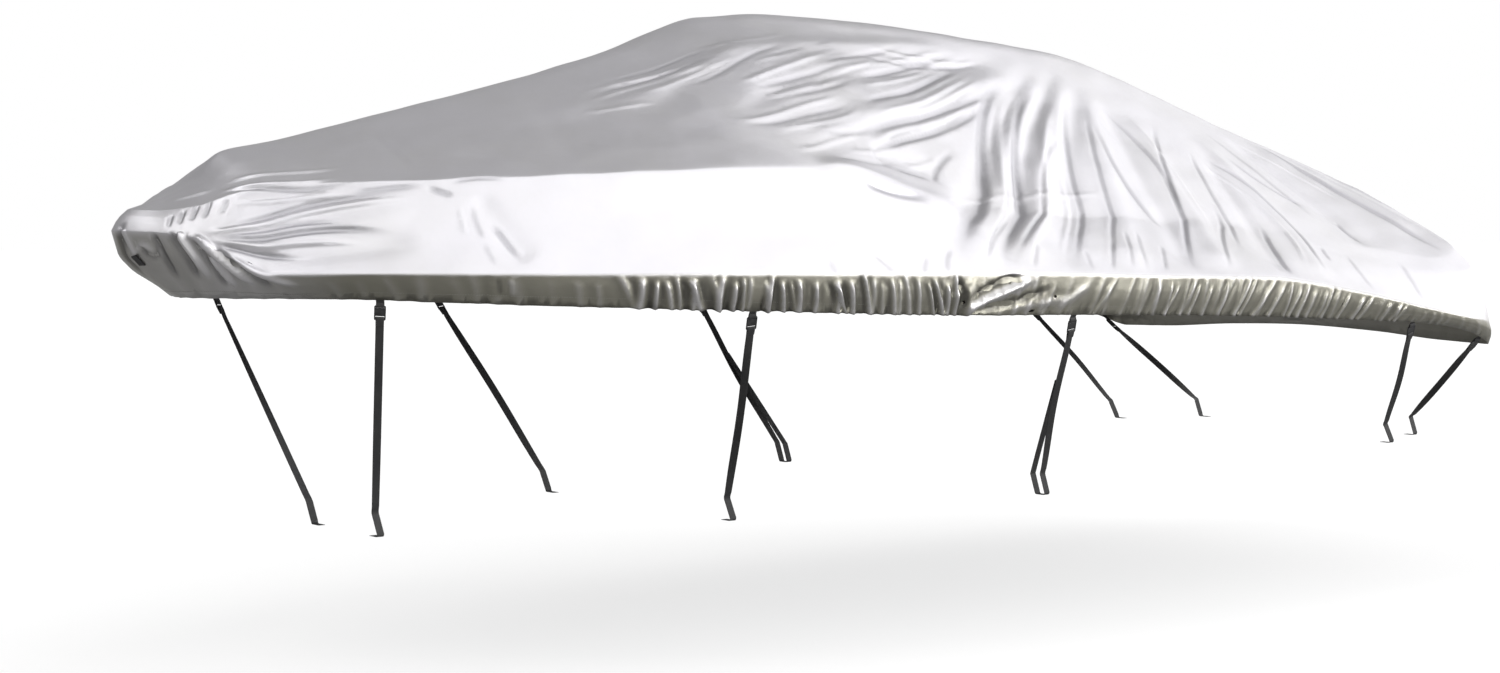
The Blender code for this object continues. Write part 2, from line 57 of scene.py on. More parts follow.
# One row for each section, from the middle of the bow along one side to the middle of the stern,
# as in the solid. ridge, knuckle, edge and hem: x, y and height above the ground. crown, shoulder
# and belly: how far the cloth stands out between those lines.
SECTION_COLUMNS = ("ridge_x", "ridge_z", "knuckle_x", "knuckle_y", "knuckle_z",
                   "edge_x", "edge_y", "edge_z", "hem_x", "hem_y", "hem_z",
                   "crown", "shoulder", "belly")
SECTIONS = (
    (-3.90, 1.463, -3.940, 0.00, 1.450, -3.990, 0.00, 1.385, -3.775, 0.00, 1.175, 0.000, 0.006, 0.070),
    (-3.87, 1.475, -3.885, 0.11, 1.450, -3.925, 0.16, 1.380, -3.750, 0.11, 1.175, 0.000, 0.006, 0.060),
    (-3.81, 1.496, -3.815, 0.20, 1.462, -3.862, 0.27, 1.365, -3.705, 0.21, 1.176, 0.004, 0.006, 0.045),
    (-3.72, 1.545, -3.720, 0.27, 1.500, -3.785, 0.37, 1.300, -3.645, 0.31, 1.177, 0.010, 0.004, 0.025),
    (-3.64, 1.632, -3.600, 0.34, 1.526, -3.680, 0.46, 1.252, -3.570, 0.41, 1.178, 0.012, -0.008, 0.012),
    (-3.42, 1.680, -3.360, 0.48, 1.538, -3.440, 0.615, 1.256, -3.390, 0.57, 1.173, 0.014, -0.012, 0.008),
    (-3.02, 1.780, -2.980, 0.66, 1.551, -3.050, 0.800, 1.252, -3.030, 0.765, 1.156, 0.016, -0.010, 0.008),
    (-2.58, 1.890, -2.560, 0.79, 1.570, -2.600, 0.945, 1.248, -2.590, 0.915, 1.138, 0.022, -0.008, 0.008),
    (-2.16, 2.010, -2.140, 0.865, 1.585, -2.150, 1.040, 1.244, -2.150, 1.010, 1.120, 0.040, -0.006, 0.008),
    (-1.76, 2.148, -1.820, 0.890, 1.588, -1.750, 1.090, 1.238, -1.750, 1.062, 1.103, 0.070, -0.004, 0.008),
    (-1.40, 2.172, -1.480, 0.905, 1.500, -1.350, 1.115, 1.232, -1.350, 1.088, 1.090, 0.074, 0.004, 0.008),
    (-1.02, 2.168, -1.040, 0.875, 1.436, -1.000, 1.127, 1.226, -1.000, 1.100, 1.083, 0.040, 0.008, 0.008),
    (-0.50, 2.130, -0.510, 0.850, 1.412, -0.500, 1.130, 1.209, -0.500, 1.104, 1.068, 0.006, 0.004, 0.008),
    (0.00, 2.080, 0.010, 0.840, 1.392, 0.020, 1.130, 1.194, 0.020, 1.104, 1.049, -0.012, 0.000, 0.008),
    (0.50, 1.944, 0.510, 0.840, 1.336, 0.520, 1.126, 1.130, 0.530, 1.098, 1.022, 0.002, 0.004, 0.010),
    (0.92, 1.806, 0.930, 0.850, 1.286, 0.940, 1.112, 1.056, 0.950, 1.082, 0.998, 0.008, 0.010, 0.012),
    (1.13, 1.742, 1.225, 0.925, 1.244, 1.250, 1.092, 1.008, 1.270, 1.058, 0.950, 0.012, 0.034, 0.014),
    (1.20, 1.720, 1.362, 0.900, 1.282, 1.402, 1.040, 0.992, 1.436, 1.010, 0.896, 0.008, 0.044, 0.014),
    (1.25, 1.702, 1.385, 0.620, 1.418, 1.446, 0.760, 1.000, 1.464, 0.745, 0.902, 0.004, 0.022, 0.014),
    (1.285, 1.690, 1.366, 0.290, 1.560, 1.462, 0.380, 1.018, 1.474, 0.375, 0.925, 0.002, 0.014, 0.014),
    (1.310, 1.680, 1.370, 0.00, 1.620, 1.466, 0.00, 1.026, 1.477, 0.00, 0.935, 0.002, 0.012, 0.014),
)
LAST_SECTION = len(SECTIONS) - 1
SECTION_KNOTS = (RIDGE, KNUCKLE / 2, KNUCKLE, (KNUCKLE + EDGE) / 2, EDGE, (EDGE + HEM) / 2, HEM)
EDGE_KNOT = SECTION_KNOTS.index(EDGE)
LAST_RUN = len(SECTION_KNOTS) - 2
ROUNDING = (0.032, 0.090, 0.007, 0.090, 0.007, 0.030, 0.006)    # how softly each breaks, as a share
ROUNDING_TAPS = np.linspace(-1.0, 1.0, 9)
FINE_STEPS = 40             # steps from one section to the next, for lengths along the edge

# ---------------------------------------------------------------- folds of the solid
# A place on the cloth is its distance from the bow along the edge, and how far down its section it
# lies, 0 at the ridge and 1 at the hem. A fold runs from one place to another, and its bend moves its
# middle aft. rise is its height at the middle, below zero for a trough; width is its half width;
# flare is how much wider it ends.
FOLD_COLUMNS = ("from_along", "from_down", "to_along", "to_down", "bend", "rise", "width", "flare")
PORT_FOLDS = (
    # fan from the support to the edge
    (4.24, 0.06, 2.93, 0.84, -0.25, -0.014, 0.045, 1.5),
    (4.30, 0.06, 3.03, 0.84, -0.24, 0.015, 0.045, 1.5),
    (4.34, 0.06, 3.12, 0.84, -0.22, -0.017, 0.045, 1.4),
    (4.38, 0.07, 3.20, 0.85, -0.20, 0.012, 0.045, 1.4),
    (4.40, 0.10, 3.41, 0.85, -0.18, -0.010, 0.045, 1.3),
    (4.43, 0.10, 3.72, 0.84, -0.10, 0.010, 0.050, 1.4),
    (4.46, 0.12, 4.02, 0.84, -0.05, -0.011, 0.045, 1.2),
    (4.56, 0.16, 4.22, 0.84, -0.04, 0.010, 0.045, 1.2),
    (4.86, 0.22, 4.54, 0.84, -0.06, -0.012, 0.045, 1.2),
    (4.93, 0.18, 4.75, 0.84, 0.03, 0.011, 0.045, 1.2),
    (5.20, 0.10, 5.30, 0.52, 0.05, -0.012, 0.045, 1.2),
    (5.45, 0.05, 5.76, 0.43, 0.10, 0.010, 0.050, 1.2),
    # taut wrinkles that rise from the knuckle to the support
    (1.92, 0.23, 3.85, 0.05, 0.00, 0.008, 0.045, 1.0),
    (2.30, 0.36, 4.05, 0.06, 0.00, -0.009, 0.045, 1.0),
    (2.50, 0.46, 4.05, 0.10, 0.00, 0.010, 0.045, 1.0),
    (2.50, 0.50, 3.20, 0.54, 0.00, 0.014, 0.045, 1.4),
    (2.90, 0.43, 3.22, 0.44, 0.00, -0.012, 0.060, 1.2),
    # bow: cross crease over the knuckle, then tension streaks low on its front
    (1.16, 0.07, 1.05, 0.52, 0.00, -0.005, 0.045, 1.0),
    (0.34, 0.77, 1.05, 0.61, 0.00, 0.009, 0.040, 1.0),
    (0.37, 0.82, 1.05, 0.72, 0.00, -0.009, 0.040, 1.0),
    (1.20, 0.55, 1.38, 0.82, 0.00, -0.008, 0.040, 1.0),
    # slack in the long flat stretches
    (1.60, 0.25, 2.30, 0.30, 0.00, -0.012, 0.180, 1.0),
    (1.50, 0.68, 2.60, 0.68, 0.00, -0.006, 0.110, 1.0),
    # the bunch where two lengths of hem meet
    (2.92, 0.90, 2.98, 1.00, 0.00, 0.014, 0.045, 1.0),
    (3.25, 0.87, 2.95, 0.98, 0.00, -0.008, 0.035, 1.0),
)
STARBOARD_FOLDS = (
    (4.26, 0.06, 3.02, 0.84, -0.22, 0.014, 0.050, 1.5),
    (4.34, 0.07, 3.24, 0.84, -0.20, -0.015, 0.045, 1.4),
    (4.40, 0.07, 3.50, 0.84, -0.16, 0.011, 0.045, 1.4),
    (4.46, 0.11, 3.86, 0.84, -0.08, -0.011, 0.045, 1.3),
    (4.62, 0.15, 4.34, 0.84, -0.04, 0.011, 0.045, 1.2),
    (4.90, 0.18, 4.70, 0.84, 0.02, -0.011, 0.045, 1.2),
    (5.24, 0.08, 5.42, 0.60, 0.05, 0.010, 0.045, 1.2),
    (2.10, 0.28, 3.95, 0.06, 0.00, -0.009, 0.045, 1.0),
    (2.46, 0.44, 4.05, 0.10, 0.00, 0.010, 0.045, 1.0),
    (2.50, 0.50, 3.15, 0.54, 0.00, 0.012, 0.045, 1.4),
    (1.10, 0.08, 1.22, 0.52, 0.00, -0.009, 0.045, 1.0),
    (0.36, 0.79, 1.00, 0.66, 0.00, 0.009, 0.040, 1.0),
    (1.70, 0.26, 2.40, 0.28, 0.00, -0.012, 0.180, 1.0),
    (1.60, 0.68, 2.70, 0.68, 0.00, -0.006, 0.110, 1.0),
    (3.40, 0.90, 3.46, 1.00, 0.00, 0.012, 0.045, 1.0),
    # slack across the stern
    (6.10, 0.20, 6.20, 0.90, 0.00, -0.010, 0.100, 1.3),
    (6.60, 0.15, 6.66, 0.90, 0.00, 0.009, 0.090, 1.3),
)

# ---------------------------------------------------------------- creases too fine for the solid
# Three places that a crease runs over, then its rise and half width.
CREASE_COLUMNS = ("a_along", "a_down", "b_along", "b_down", "c_along", "c_down", "rise", "width")
PORT_CREASES = (
    # fan: lines that fall from the support to the edge
    (3.92, 0.15, 3.50, 0.34, 2.96, 0.80, -0.0075, 0.024),
    (4.07, 0.15, 3.60, 0.38, 3.13, 0.82, -0.0080, 0.020),
    (4.00, 0.15, 3.55, 0.36, 3.05, 0.82, 0.0050, 0.022),
    (4.12, 0.18, 3.68, 0.42, 3.20, 0.84, 0.0050, 0.020),
    (3.99, 0.29, 3.60, 0.46, 3.16, 0.84, -0.0050, 0.013),
    (4.26, 0.14, 3.82, 0.43, 3.45, 0.83, -0.0045, 0.014),
    (4.20, 0.16, 3.76, 0.43, 3.38, 0.83, 0.0030, 0.014),
    (4.33, 0.16, 3.94, 0.45, 3.64, 0.82, -0.0040, 0.013),
    (4.25, 0.22, 4.12, 0.40, 4.12, 0.56, -0.0050, 0.014),
    (4.70, 0.17, 4.33, 0.44, 4.04, 0.83, -0.0060, 0.014),
    (4.56, 0.42, 4.37, 0.62, 4.22, 0.84, -0.0045, 0.013),
    (4.76, 0.25, 4.58, 0.42, 4.39, 0.72, -0.0040, 0.013),
    (4.72, 0.47, 4.63, 0.65, 4.56, 0.84, -0.0055, 0.013),
    (4.80, 0.26, 4.92, 0.44, 4.77, 0.82, -0.0065, 0.014),
    (4.72, 0.26, 4.84, 0.46, 4.68, 0.80, 0.0035, 0.014),
    (4.99, 0.22, 5.07, 0.32, 5.22, 0.38, -0.0055, 0.013),
    (5.50, 0.06, 5.60, 0.17, 5.66, 0.30, -0.0060, 0.014),
    (5.20, 0.09, 5.44, 0.18, 5.62, 0.33, 0.0045, 0.016),
    (5.55, 0.14, 5.68, 0.30, 5.76, 0.50, -0.0080, 0.017),
    (5.33, 0.40, 5.31, 0.44, 5.32, 0.49, -0.0050, 0.012),
    (4.98, 0.56, 4.95, 0.61, 4.94, 0.67, -0.0035, 0.012),
    (4.40, 0.16, 4.41, 0.32, 4.28, 0.49, -0.0045, 0.014),
    (4.52, 0.18, 4.48, 0.34, 4.36, 0.56, 0.0030, 0.014),
    (5.05, 0.12, 5.12, 0.26, 5.16, 0.44, -0.0035, 0.014),
    (5.10, 0.58, 5.06, 0.70, 5.04, 0.84, -0.0030, 0.013),
    (5.42, 0.56, 5.38, 0.70, 5.34, 0.84, -0.0030, 0.014),
    # short creases over the edge, fed by the pleats below
    (3.06, 0.81, 3.21, 0.67, 3.40, 0.50, -0.0050, 0.013),
    (3.245, 0.84, 3.31, 0.76, 3.37, 0.68, -0.0035, 0.011),
    (3.62, 0.84, 3.69, 0.74, 3.76, 0.65, -0.0030, 0.011),
    (3.72, 0.84, 3.80, 0.70, 3.87, 0.59, -0.0035, 0.011),
    (3.79, 0.84, 3.87, 0.69, 3.94, 0.58, -0.0030, 0.011),
    (3.88, 0.84, 3.95, 0.74, 4.00, 0.66, -0.0030, 0.011),
    (3.52, 0.84, 3.55, 0.77, 3.57, 0.72, -0.0025, 0.011),
    (2.86, 0.86, 2.90, 0.80, 2.97, 0.75, -0.0035, 0.012),
    (2.76, 0.86, 2.78, 0.83, 2.82, 0.79, -0.0025, 0.011),
    (2.64, 0.86, 2.62, 0.82, 2.59, 0.79, -0.0025, 0.011),
    (2.42, 0.86, 2.41, 0.84, 2.40, 0.81, -0.0020, 0.011),
    # taut lines between knuckle and support
    (1.93, 0.147, 2.20, 0.152, 2.44, 0.172, 0.0035, 0.013),
    (1.91, 0.19, 2.22, 0.180, 2.52, 0.200, 0.0045, 0.014),
    (1.93, 0.17, 2.25, 0.166, 2.60, 0.185, -0.0030, 0.012),
    (2.45, 0.128, 2.70, 0.138, 3.02, 0.077, 0.0040, 0.014),
    (2.50, 0.26, 2.73, 0.241, 3.24, 0.111, 0.0050, 0.015),
    (2.52, 0.285, 2.80, 0.262, 3.30, 0.135, -0.0040, 0.013),
    (2.53, 0.312, 2.74, 0.301, 3.16, 0.211, 0.0045, 0.014),
    (2.32, 0.353, 2.61, 0.359, 3.02, 0.283, 0.0045, 0.015),
    (2.36, 0.372, 2.66, 0.374, 3.05, 0.297, -0.0035, 0.012),
    (2.44, 0.395, 2.73, 0.388, 3.05, 0.312, 0.0040, 0.013),
    (2.46, 0.454, 2.68, 0.441, 2.93, 0.385, 0.0035, 0.013),
    (1.85, 0.226, 2.00, 0.236, 2.16, 0.245, 0.0030, 0.013),
    (3.29, 0.100, 3.58, 0.118, 3.92, 0.077, 0.0040, 0.014),
    (3.20, 0.135, 3.52, 0.140, 3.90, 0.087, -0.0045, 0.013),
    (3.14, 0.225, 3.39, 0.161, 3.83, 0.067, -0.0060, 0.015),
    (3.10, 0.255, 3.36, 0.190, 3.80, 0.083, 0.0050, 0.015),
    (3.05, 0.307, 3.31, 0.237, 3.78, 0.102, -0.0065, 0.016),
    (3.03, 0.345, 3.34, 0.262, 3.82, 0.120, 0.0050, 0.015),
    (2.92, 0.394, 3.28, 0.307, 3.85, 0.174, -0.0065, 0.016),
    (2.90, 0.415, 3.27, 0.325, 3.80, 0.195, 0.0045, 0.014),
    (2.87, 0.435, 3.27, 0.346, 3.71, 0.229, -0.0060, 0.014),
    (3.04, 0.388, 3.14, 0.359, 3.29, 0.321, -0.0040, 0.012),
    (2.97, 0.452, 3.07, 0.453, 3.14, 0.457, -0.0055, 0.013),
    (3.145, 0.466, 3.22, 0.418, 3.34, 0.371, -0.0050, 0.013),
    (3.05, 0.435, 3.14, 0.428, 3.22, 0.405, 0.0045, 0.013),
    # between those, thinner ones that run the same way
    (2.02, 0.128, 2.30, 0.136, 2.58, 0.140, -0.0030, 0.011),
    (2.10, 0.205, 2.36, 0.205, 2.62, 0.190, 0.0030, 0.011),
    (2.30, 0.225, 2.56, 0.212, 2.94, 0.130, -0.0032, 0.011),
    (2.58, 0.225, 2.84, 0.185, 3.20, 0.090, 0.0032, 0.011),
    (2.70, 0.205, 2.94, 0.160, 3.24, 0.080, -0.0032, 0.011),
    (2.62, 0.330, 2.86, 0.295, 3.10, 0.235, -0.0036, 0.011),
    (2.78, 0.300, 3.00, 0.240, 3.30, 0.155, -0.0036, 0.011),
    (2.88, 0.275, 3.08, 0.215, 3.36, 0.125, 0.0032, 0.011),
    (3.00, 0.200, 3.22, 0.145, 3.52, 0.085, -0.0036, 0.011),
    (3.20, 0.175, 3.44, 0.130, 3.72, 0.075, 0.0034, 0.011),
    (3.24, 0.205, 3.50, 0.155, 3.84, 0.080, -0.0034, 0.011),
    (3.18, 0.275, 3.44, 0.205, 3.76, 0.115, -0.0036, 0.011),
    (3.16, 0.320, 3.46, 0.245, 3.80, 0.145, 0.0034, 0.011),
    (3.02, 0.375, 3.32, 0.300, 3.70, 0.185, -0.0036, 0.011),
    (2.98, 0.415, 3.30, 0.335, 3.66, 0.220, -0.0034, 0.011),
    (2.66, 0.420, 2.86, 0.400, 3.06, 0.350, -0.0034, 0.011),
    (2.74, 0.455, 2.92, 0.430, 3.10, 0.385, 0.0034, 0.011),
    (2.60, 0.478, 2.84, 0.468, 3.04, 0.430, -0.0030, 0.011),
    # the knuckle's tail, a soft roll under a groove
    (2.70, 0.530, 2.86, 0.560, 3.08, 0.515, -0.0080, 0.022),
    (2.72, 0.570, 2.88, 0.600, 3.12, 0.560, 0.0050, 0.024),
    (3.12, 0.500, 3.57, 0.458, 4.05, 0.435, 0.0022, 0.012),
    # bow: streaks that run aft from its corner
    (0.33, 0.780, 0.63, 0.626, 1.08, 0.560, 0.0080, 0.014),
    (0.36, 0.760, 0.62, 0.600, 1.04, 0.545, -0.0058, 0.012),
    (0.35, 0.800, 0.66, 0.690, 0.96, 0.700, -0.0087, 0.013),
    (0.36, 0.815, 0.62, 0.735, 0.90, 0.735, 0.0065, 0.012),
    (0.37, 0.832, 0.51, 0.780, 0.68, 0.790, -0.0072, 0.012),
    (0.36, 0.790, 0.58, 0.670, 0.82, 0.655, -0.0051, 0.010),
    (0.40, 0.374, 0.60, 0.481, 0.81, 0.443, 0.0058, 0.014),
    (0.42, 0.420, 0.61, 0.520, 0.85, 0.480, -0.0051, 0.012),
    (0.43, 0.562, 0.63, 0.559, 0.81, 0.529, 0.0051, 0.012),
    (0.80, 0.545, 0.92, 0.530, 1.05, 0.520, -0.0051, 0.012),
    (0.44, 0.300, 0.66, 0.380, 0.88, 0.360, 0.0036, 0.014),
    # bow: the bright rolls under its corner
    (0.290, 0.835, 0.385, 0.885, 0.472, 0.955, 0.0170, 0.015),
    (0.290, 0.862, 0.311, 0.925, 0.312, 0.975, -0.0140, 0.012),
    (0.322, 0.880, 0.338, 0.928, 0.368, 0.972, 0.0140, 0.011),
    (0.350, 0.845, 0.455, 0.882, 0.540, 0.945, -0.0140, 0.016),
    (0.268, 0.810, 0.256, 0.890, 0.263, 0.965, 0.0180, 0.013),
    (0.238, 0.830, 0.220, 0.900, 0.217, 0.965, -0.0120, 0.013),
    (0.400, 0.840, 0.540, 0.872, 0.640, 0.930, 0.0090, 0.015),
    (0.164, 0.850, 0.137, 0.907, 0.128, 0.965, -0.0090, 0.012),
    (0.036, 0.840, 0.042, 0.880, 0.045, 0.925, 0.0080, 0.010),
    (0.023, 0.856, 0.008, 0.905, 0.022, 0.960, -0.0070, 0.013),
    (0.044, 0.912, 0.085, 0.888, 0.115, 0.906, 0.0080, 0.009),
    (0.066, 0.872, 0.098, 0.912, 0.150, 0.880, -0.0065, 0.009),
    (0.020, 0.740, 0.028, 0.830, 0.020, 0.920, -0.0050, 0.015),
    # bow: short puckers above its front
    (0.211, 0.790, 0.214, 0.690, 0.217, 0.590, -0.0048, 0.009),
    (0.247, 0.755, 0.255, 0.640, 0.262, 0.510, -0.0056, 0.009),
    (0.288, 0.700, 0.300, 0.590, 0.310, 0.470, -0.0056, 0.009),
    (0.333, 0.670, 0.346, 0.570, 0.358, 0.460, -0.0048, 0.009),
    (0.403, 0.617, 0.413, 0.570, 0.423, 0.516, -0.0040, 0.009),
    (0.265, 0.160, 0.340, 0.250, 0.416, 0.350, 0.0030, 0.014),
    # cross crease from ridge to knuckle, and what it frays into below
    (1.16, 0.090, 1.115, 0.286, 1.063, 0.500, 0.0025, 0.022),
    (1.047, 0.526, 1.094, 0.546, 1.141, 0.561, -0.0050, 0.012),
    (1.120, 0.520, 1.200, 0.500, 1.320, 0.512, -0.0035, 0.011),
    (1.189, 0.577, 1.207, 0.667, 1.230, 0.724, -0.0035, 0.010),
    (1.150, 0.585, 1.165, 0.650, 1.175, 0.710, 0.0025, 0.010),
    (1.251, 0.660, 1.296, 0.725, 1.344, 0.812, -0.0055, 0.011),
    (1.225, 0.730, 1.240, 0.780, 1.262, 0.830, -0.0025, 0.010),
    (1.262, 0.870, 1.266, 0.920, 1.270, 0.975, -0.0050, 0.010),
    (1.300, 0.870, 1.306, 0.920, 1.312, 0.975, 0.0040, 0.010),
    # the bunch in the hem
    (2.920, 0.990, 3.087, 0.932, 3.260, 0.872, 0.0170, 0.020),
    (2.940, 0.955, 3.060, 0.900, 3.190, 0.862, -0.0150, 0.014),
    (2.990, 0.990, 3.170, 0.950, 3.340, 0.900, -0.0070, 0.016),
    (2.900, 0.880, 2.925, 0.930, 2.925, 0.990, -0.0120, 0.014),
    (3.330, 0.990, 3.420, 0.940, 3.500, 0.890, 0.0040, 0.016),
    (3.080, 0.995, 3.260, 0.965, 3.420, 0.945, 0.0040, 0.016),
)
STARBOARD_CREASES = (
    (3.94, 0.15, 3.54, 0.36, 3.02, 0.82, -0.0070, 0.022),
    (4.08, 0.15, 3.66, 0.40, 3.22, 0.82, 0.0050, 0.020),
    (4.22, 0.16, 3.80, 0.44, 3.40, 0.82, -0.0060, 0.018),
    (4.34, 0.18, 4.00, 0.46, 3.70, 0.83, -0.0050, 0.015),
    (4.46, 0.18, 4.20, 0.44, 3.98, 0.82, 0.0040, 0.016),
    (4.60, 0.20, 4.36, 0.46, 4.18, 0.83, -0.0055, 0.015),
    (4.80, 0.24, 4.66, 0.50, 4.52, 0.83, -0.0050, 0.015),
    (4.94, 0.22, 4.96, 0.46, 4.86, 0.83, -0.0050, 0.015),
    (5.20, 0.16, 5.30, 0.36, 5.28, 0.66, -0.0050, 0.015),
    (5.50, 0.10, 5.68, 0.28, 5.74, 0.52, -0.0060, 0.016),
    (3.20, 0.200, 3.45, 0.150, 3.86, 0.075, -0.0055, 0.015),
    (3.05, 0.300, 3.36, 0.230, 3.80, 0.110, 0.0050, 0.015),
    (2.95, 0.380, 3.28, 0.300, 3.82, 0.160, -0.0060, 0.015),
    (2.60, 0.330, 2.90, 0.300, 3.30, 0.220, 0.0045, 0.014),
    (2.40, 0.400, 2.70, 0.380, 3.05, 0.310, -0.0045, 0.014),
    (1.98, 0.180, 2.30, 0.180, 2.70, 0.160, 0.0040, 0.014),
    (2.75, 0.540, 2.95, 0.560, 3.15, 0.520, -0.0070, 0.020),
    (0.34, 0.790, 0.66, 0.650, 1.02, 0.580, 0.0050, 0.014),
    (0.36, 0.810, 0.66, 0.710, 0.94, 0.710, -0.0055, 0.013),
    (0.38, 0.400, 0.60, 0.480, 0.84, 0.450, 0.0040, 0.014),
    (0.31, 0.850, 0.40, 0.900, 0.48, 0.950, 0.0075, 0.013),
    (0.27, 0.830, 0.27, 0.900, 0.29, 0.960, -0.0060, 0.013),
    (1.14, 0.100, 1.18, 0.300, 1.21, 0.500, -0.0045, 0.018),
    (1.26, 0.600, 1.32, 0.700, 1.36, 0.810, -0.0045, 0.011),
    (3.36, 0.990, 3.47, 0.935, 3.60, 0.880, 0.0100, 0.020),
    (3.44, 0.990, 3.56, 0.950, 3.70, 0.900, -0.0080, 0.016),
    (5.96, 0.300, 5.95, 0.500, 5.93, 0.800, -0.0050, 0.020),
    (6.28, 0.200, 6.33, 0.450, 6.34, 0.820, 0.0050, 0.022),
    (6.50, 0.250, 6.52, 0.500, 6.54, 0.820, -0.0045, 0.020),
    (6.70, 0.300, 6.72, 0.500, 6.73, 0.800, 0.0040, 0.020),
)


def section_column(name, t):
    """One column of the section table, read with a monotone cubic t sections from the bow."""
    values = np.array([row[SECTION_COLUMNS.index(name)] for row in SECTIONS])
    steps = np.diff(values)
    slopes = np.zeros(len(values))
    product = steps[:-1] * steps[1:]
    total = steps[:-1] + steps[1:]
    rising = product > 0
    slopes[1:-1][rising] = 2 * product[rising] / total[rising]
    if name.endswith("_y") or name.startswith("ridge"):
        slopes[0] = steps[0]
        slopes[-1] = steps[-1]
    start = np.clip(np.floor(t), 0, LAST_SECTION - 1).astype(int)
    q = t - start
    rise = steps[start]
    return (values[start] + q * slopes[start]
            + q ** 2 * (3 * rise - 2 * slopes[start] - slopes[start + 1])
            + q ** 3 * (slopes[start] + slopes[start + 1] - 2 * rise))


def section_lines(t):
    """The cloth's shape at t: ridge, crown, knuckle, shoulder, edge, belly and hem."""
    def line(name, y):
        x = section_column(name + "_x", t)
        return np.stack([x, y, section_column(name + "_z", t) - SUPPORT_HEIGHT], axis=-1)
    ridge = line("ridge", np.zeros_like(t))
    knuckle = line("knuckle", section_column("knuckle_y", t))
    edge = line("edge", section_column("edge_y", t))
    hem = line("hem", section_column("hem_y", t))
    outward = (edge - ridge) * (1.0, 1.0, 0.0)
    outward /= np.linalg.norm(outward, axis=-1, keepdims=True)
    up = np.array([0.0, 0.0, 1.0])
    crown = (ridge + knuckle) / 2 + up * section_column("crown", t)[..., None]
    shoulder = (knuckle + edge) / 2 + (outward + up) * section_column("shoulder", t)[..., None]
    belly = (edge + hem) / 2 + outward * section_column("belly", t)[..., None]
    return np.stack([ridge, crown, knuckle, shoulder, edge, belly, hem])


def smooth_cloth(t, down, side):
    """Points of the cloth without folds: straight runs between seven lines, averaged over a few
    taps near each break. t and down are arrays of one shape, and side is -1 to port, 1 to starboard."""
    lines = section_lines(t)
    spread = np.minimum(np.interp(down, SECTION_KNOTS, ROUNDING), HEM - down)
    total = np.zeros(t.shape + (3,))
    for tap in ROUNDING_TAPS:
        at = down + spread * tap
        share = np.clip(np.abs(at), RIDGE, HEM)
        low = np.clip(np.searchsorted(SECTION_KNOTS, share, side="right") - 1, 0, LAST_RUN)
        start = np.take(SECTION_KNOTS, low)
        q = ((share - start) / (np.take(SECTION_KNOTS, low + 1) - start))[..., None]
        below = np.take_along_axis(lines, low[None, ..., None], axis=0)[0]
        above = np.take_along_axis(lines, low[None, ..., None] + 1, axis=0)[0]
        point = below * (1 - q) + above * q
        point[..., 1] *= side * np.where(at < 0, -1.0, 1.0)
        total += point
    return total / len(ROUNDING_TAPS)


FINE_T = np.linspace(0.0, LAST_SECTION, LAST_SECTION * FINE_STEPS + 1)
EDGE_LINE = section_lines(FINE_T)[EDGE_KNOT]
FINE_ALONG = np.concatenate([[0.0], np.cumsum(np.linalg.norm(np.diff(EDGE_LINE, axis=0), axis=1))])
EDGE_LENGTH = FINE_ALONG[-1]
NUDGE = 0.004               # half step of the differences that give a normal


def cloth_place(along, down, side):
    """Points of the smooth cloth at a distance along the edge and a share of the way down."""
    along, down, side = np.broadcast_arrays(np.asarray(along, float), down, side)
    return smooth_cloth(np.interp(along, FINE_ALONG, FINE_T), down, side)


def cloth_normal(along, down, side):
    """Outward normals: the cross product of the runs aft and down, flat across the centreline."""
    along, down, side = np.broadcast_arrays(np.asarray(along, float), down, side)
    fore = np.clip(along - NUDGE, 0.0, EDGE_LENGTH - 2 * NUDGE)
    high = np.clip(down - NUDGE, 0.0, HEM - 2 * NUDGE)
    middle_along, middle_down = fore + NUDGE, high + NUDGE
    aft_run = cloth_place(fore + 2 * NUDGE, middle_down, side) - cloth_place(fore, middle_down, side)
    down_run = (cloth_place(middle_along, high + 2 * NUDGE, side)
                - cloth_place(middle_along, high, side))
    normal = np.cross(aft_run, down_run) * side[..., None]
    centre = (down < NUDGE) | (along < NUDGE) | (along > EDGE_LENGTH - NUDGE)
    normal[..., 1] = np.where(centre, 0.0, normal[..., 1])
    return normal / np.linalg.norm(normal, axis=-1, keepdims=True)


# ================================================================ folds, creases and pleats
FOLD_STEPS = 12             # straight runs in the path of a fold or crease
FOLD_ONSET = 0.18           # share of a fold's length over which it rises
CREASE_ONSET = 0.30         # and of a crease's
COUNTER_WAVE = 0.9          # how strong the wave beside a fine crease is
REACH = 3.0                 # how many half widths away a crease is still felt


def nearest_on(points, path):
    """Distance from each point to a path of straight runs, and the share of the path passed there."""
    best = np.full(len(points), np.inf)
    place = np.zeros(len(points))
    for k in range(len(path) - 1):
        run = path[k + 1] - path[k]
        q = np.clip((points - path[k]) @ run / (run @ run), 0.0, 1.0)
        distance = np.linalg.norm(points - path[k] - q[:, None] * run, axis=1)
        closer = distance < best
        best[closer] = distance[closer]
        place[closer] = (k + q[closer]) / (len(path) - 1)
    return best, place


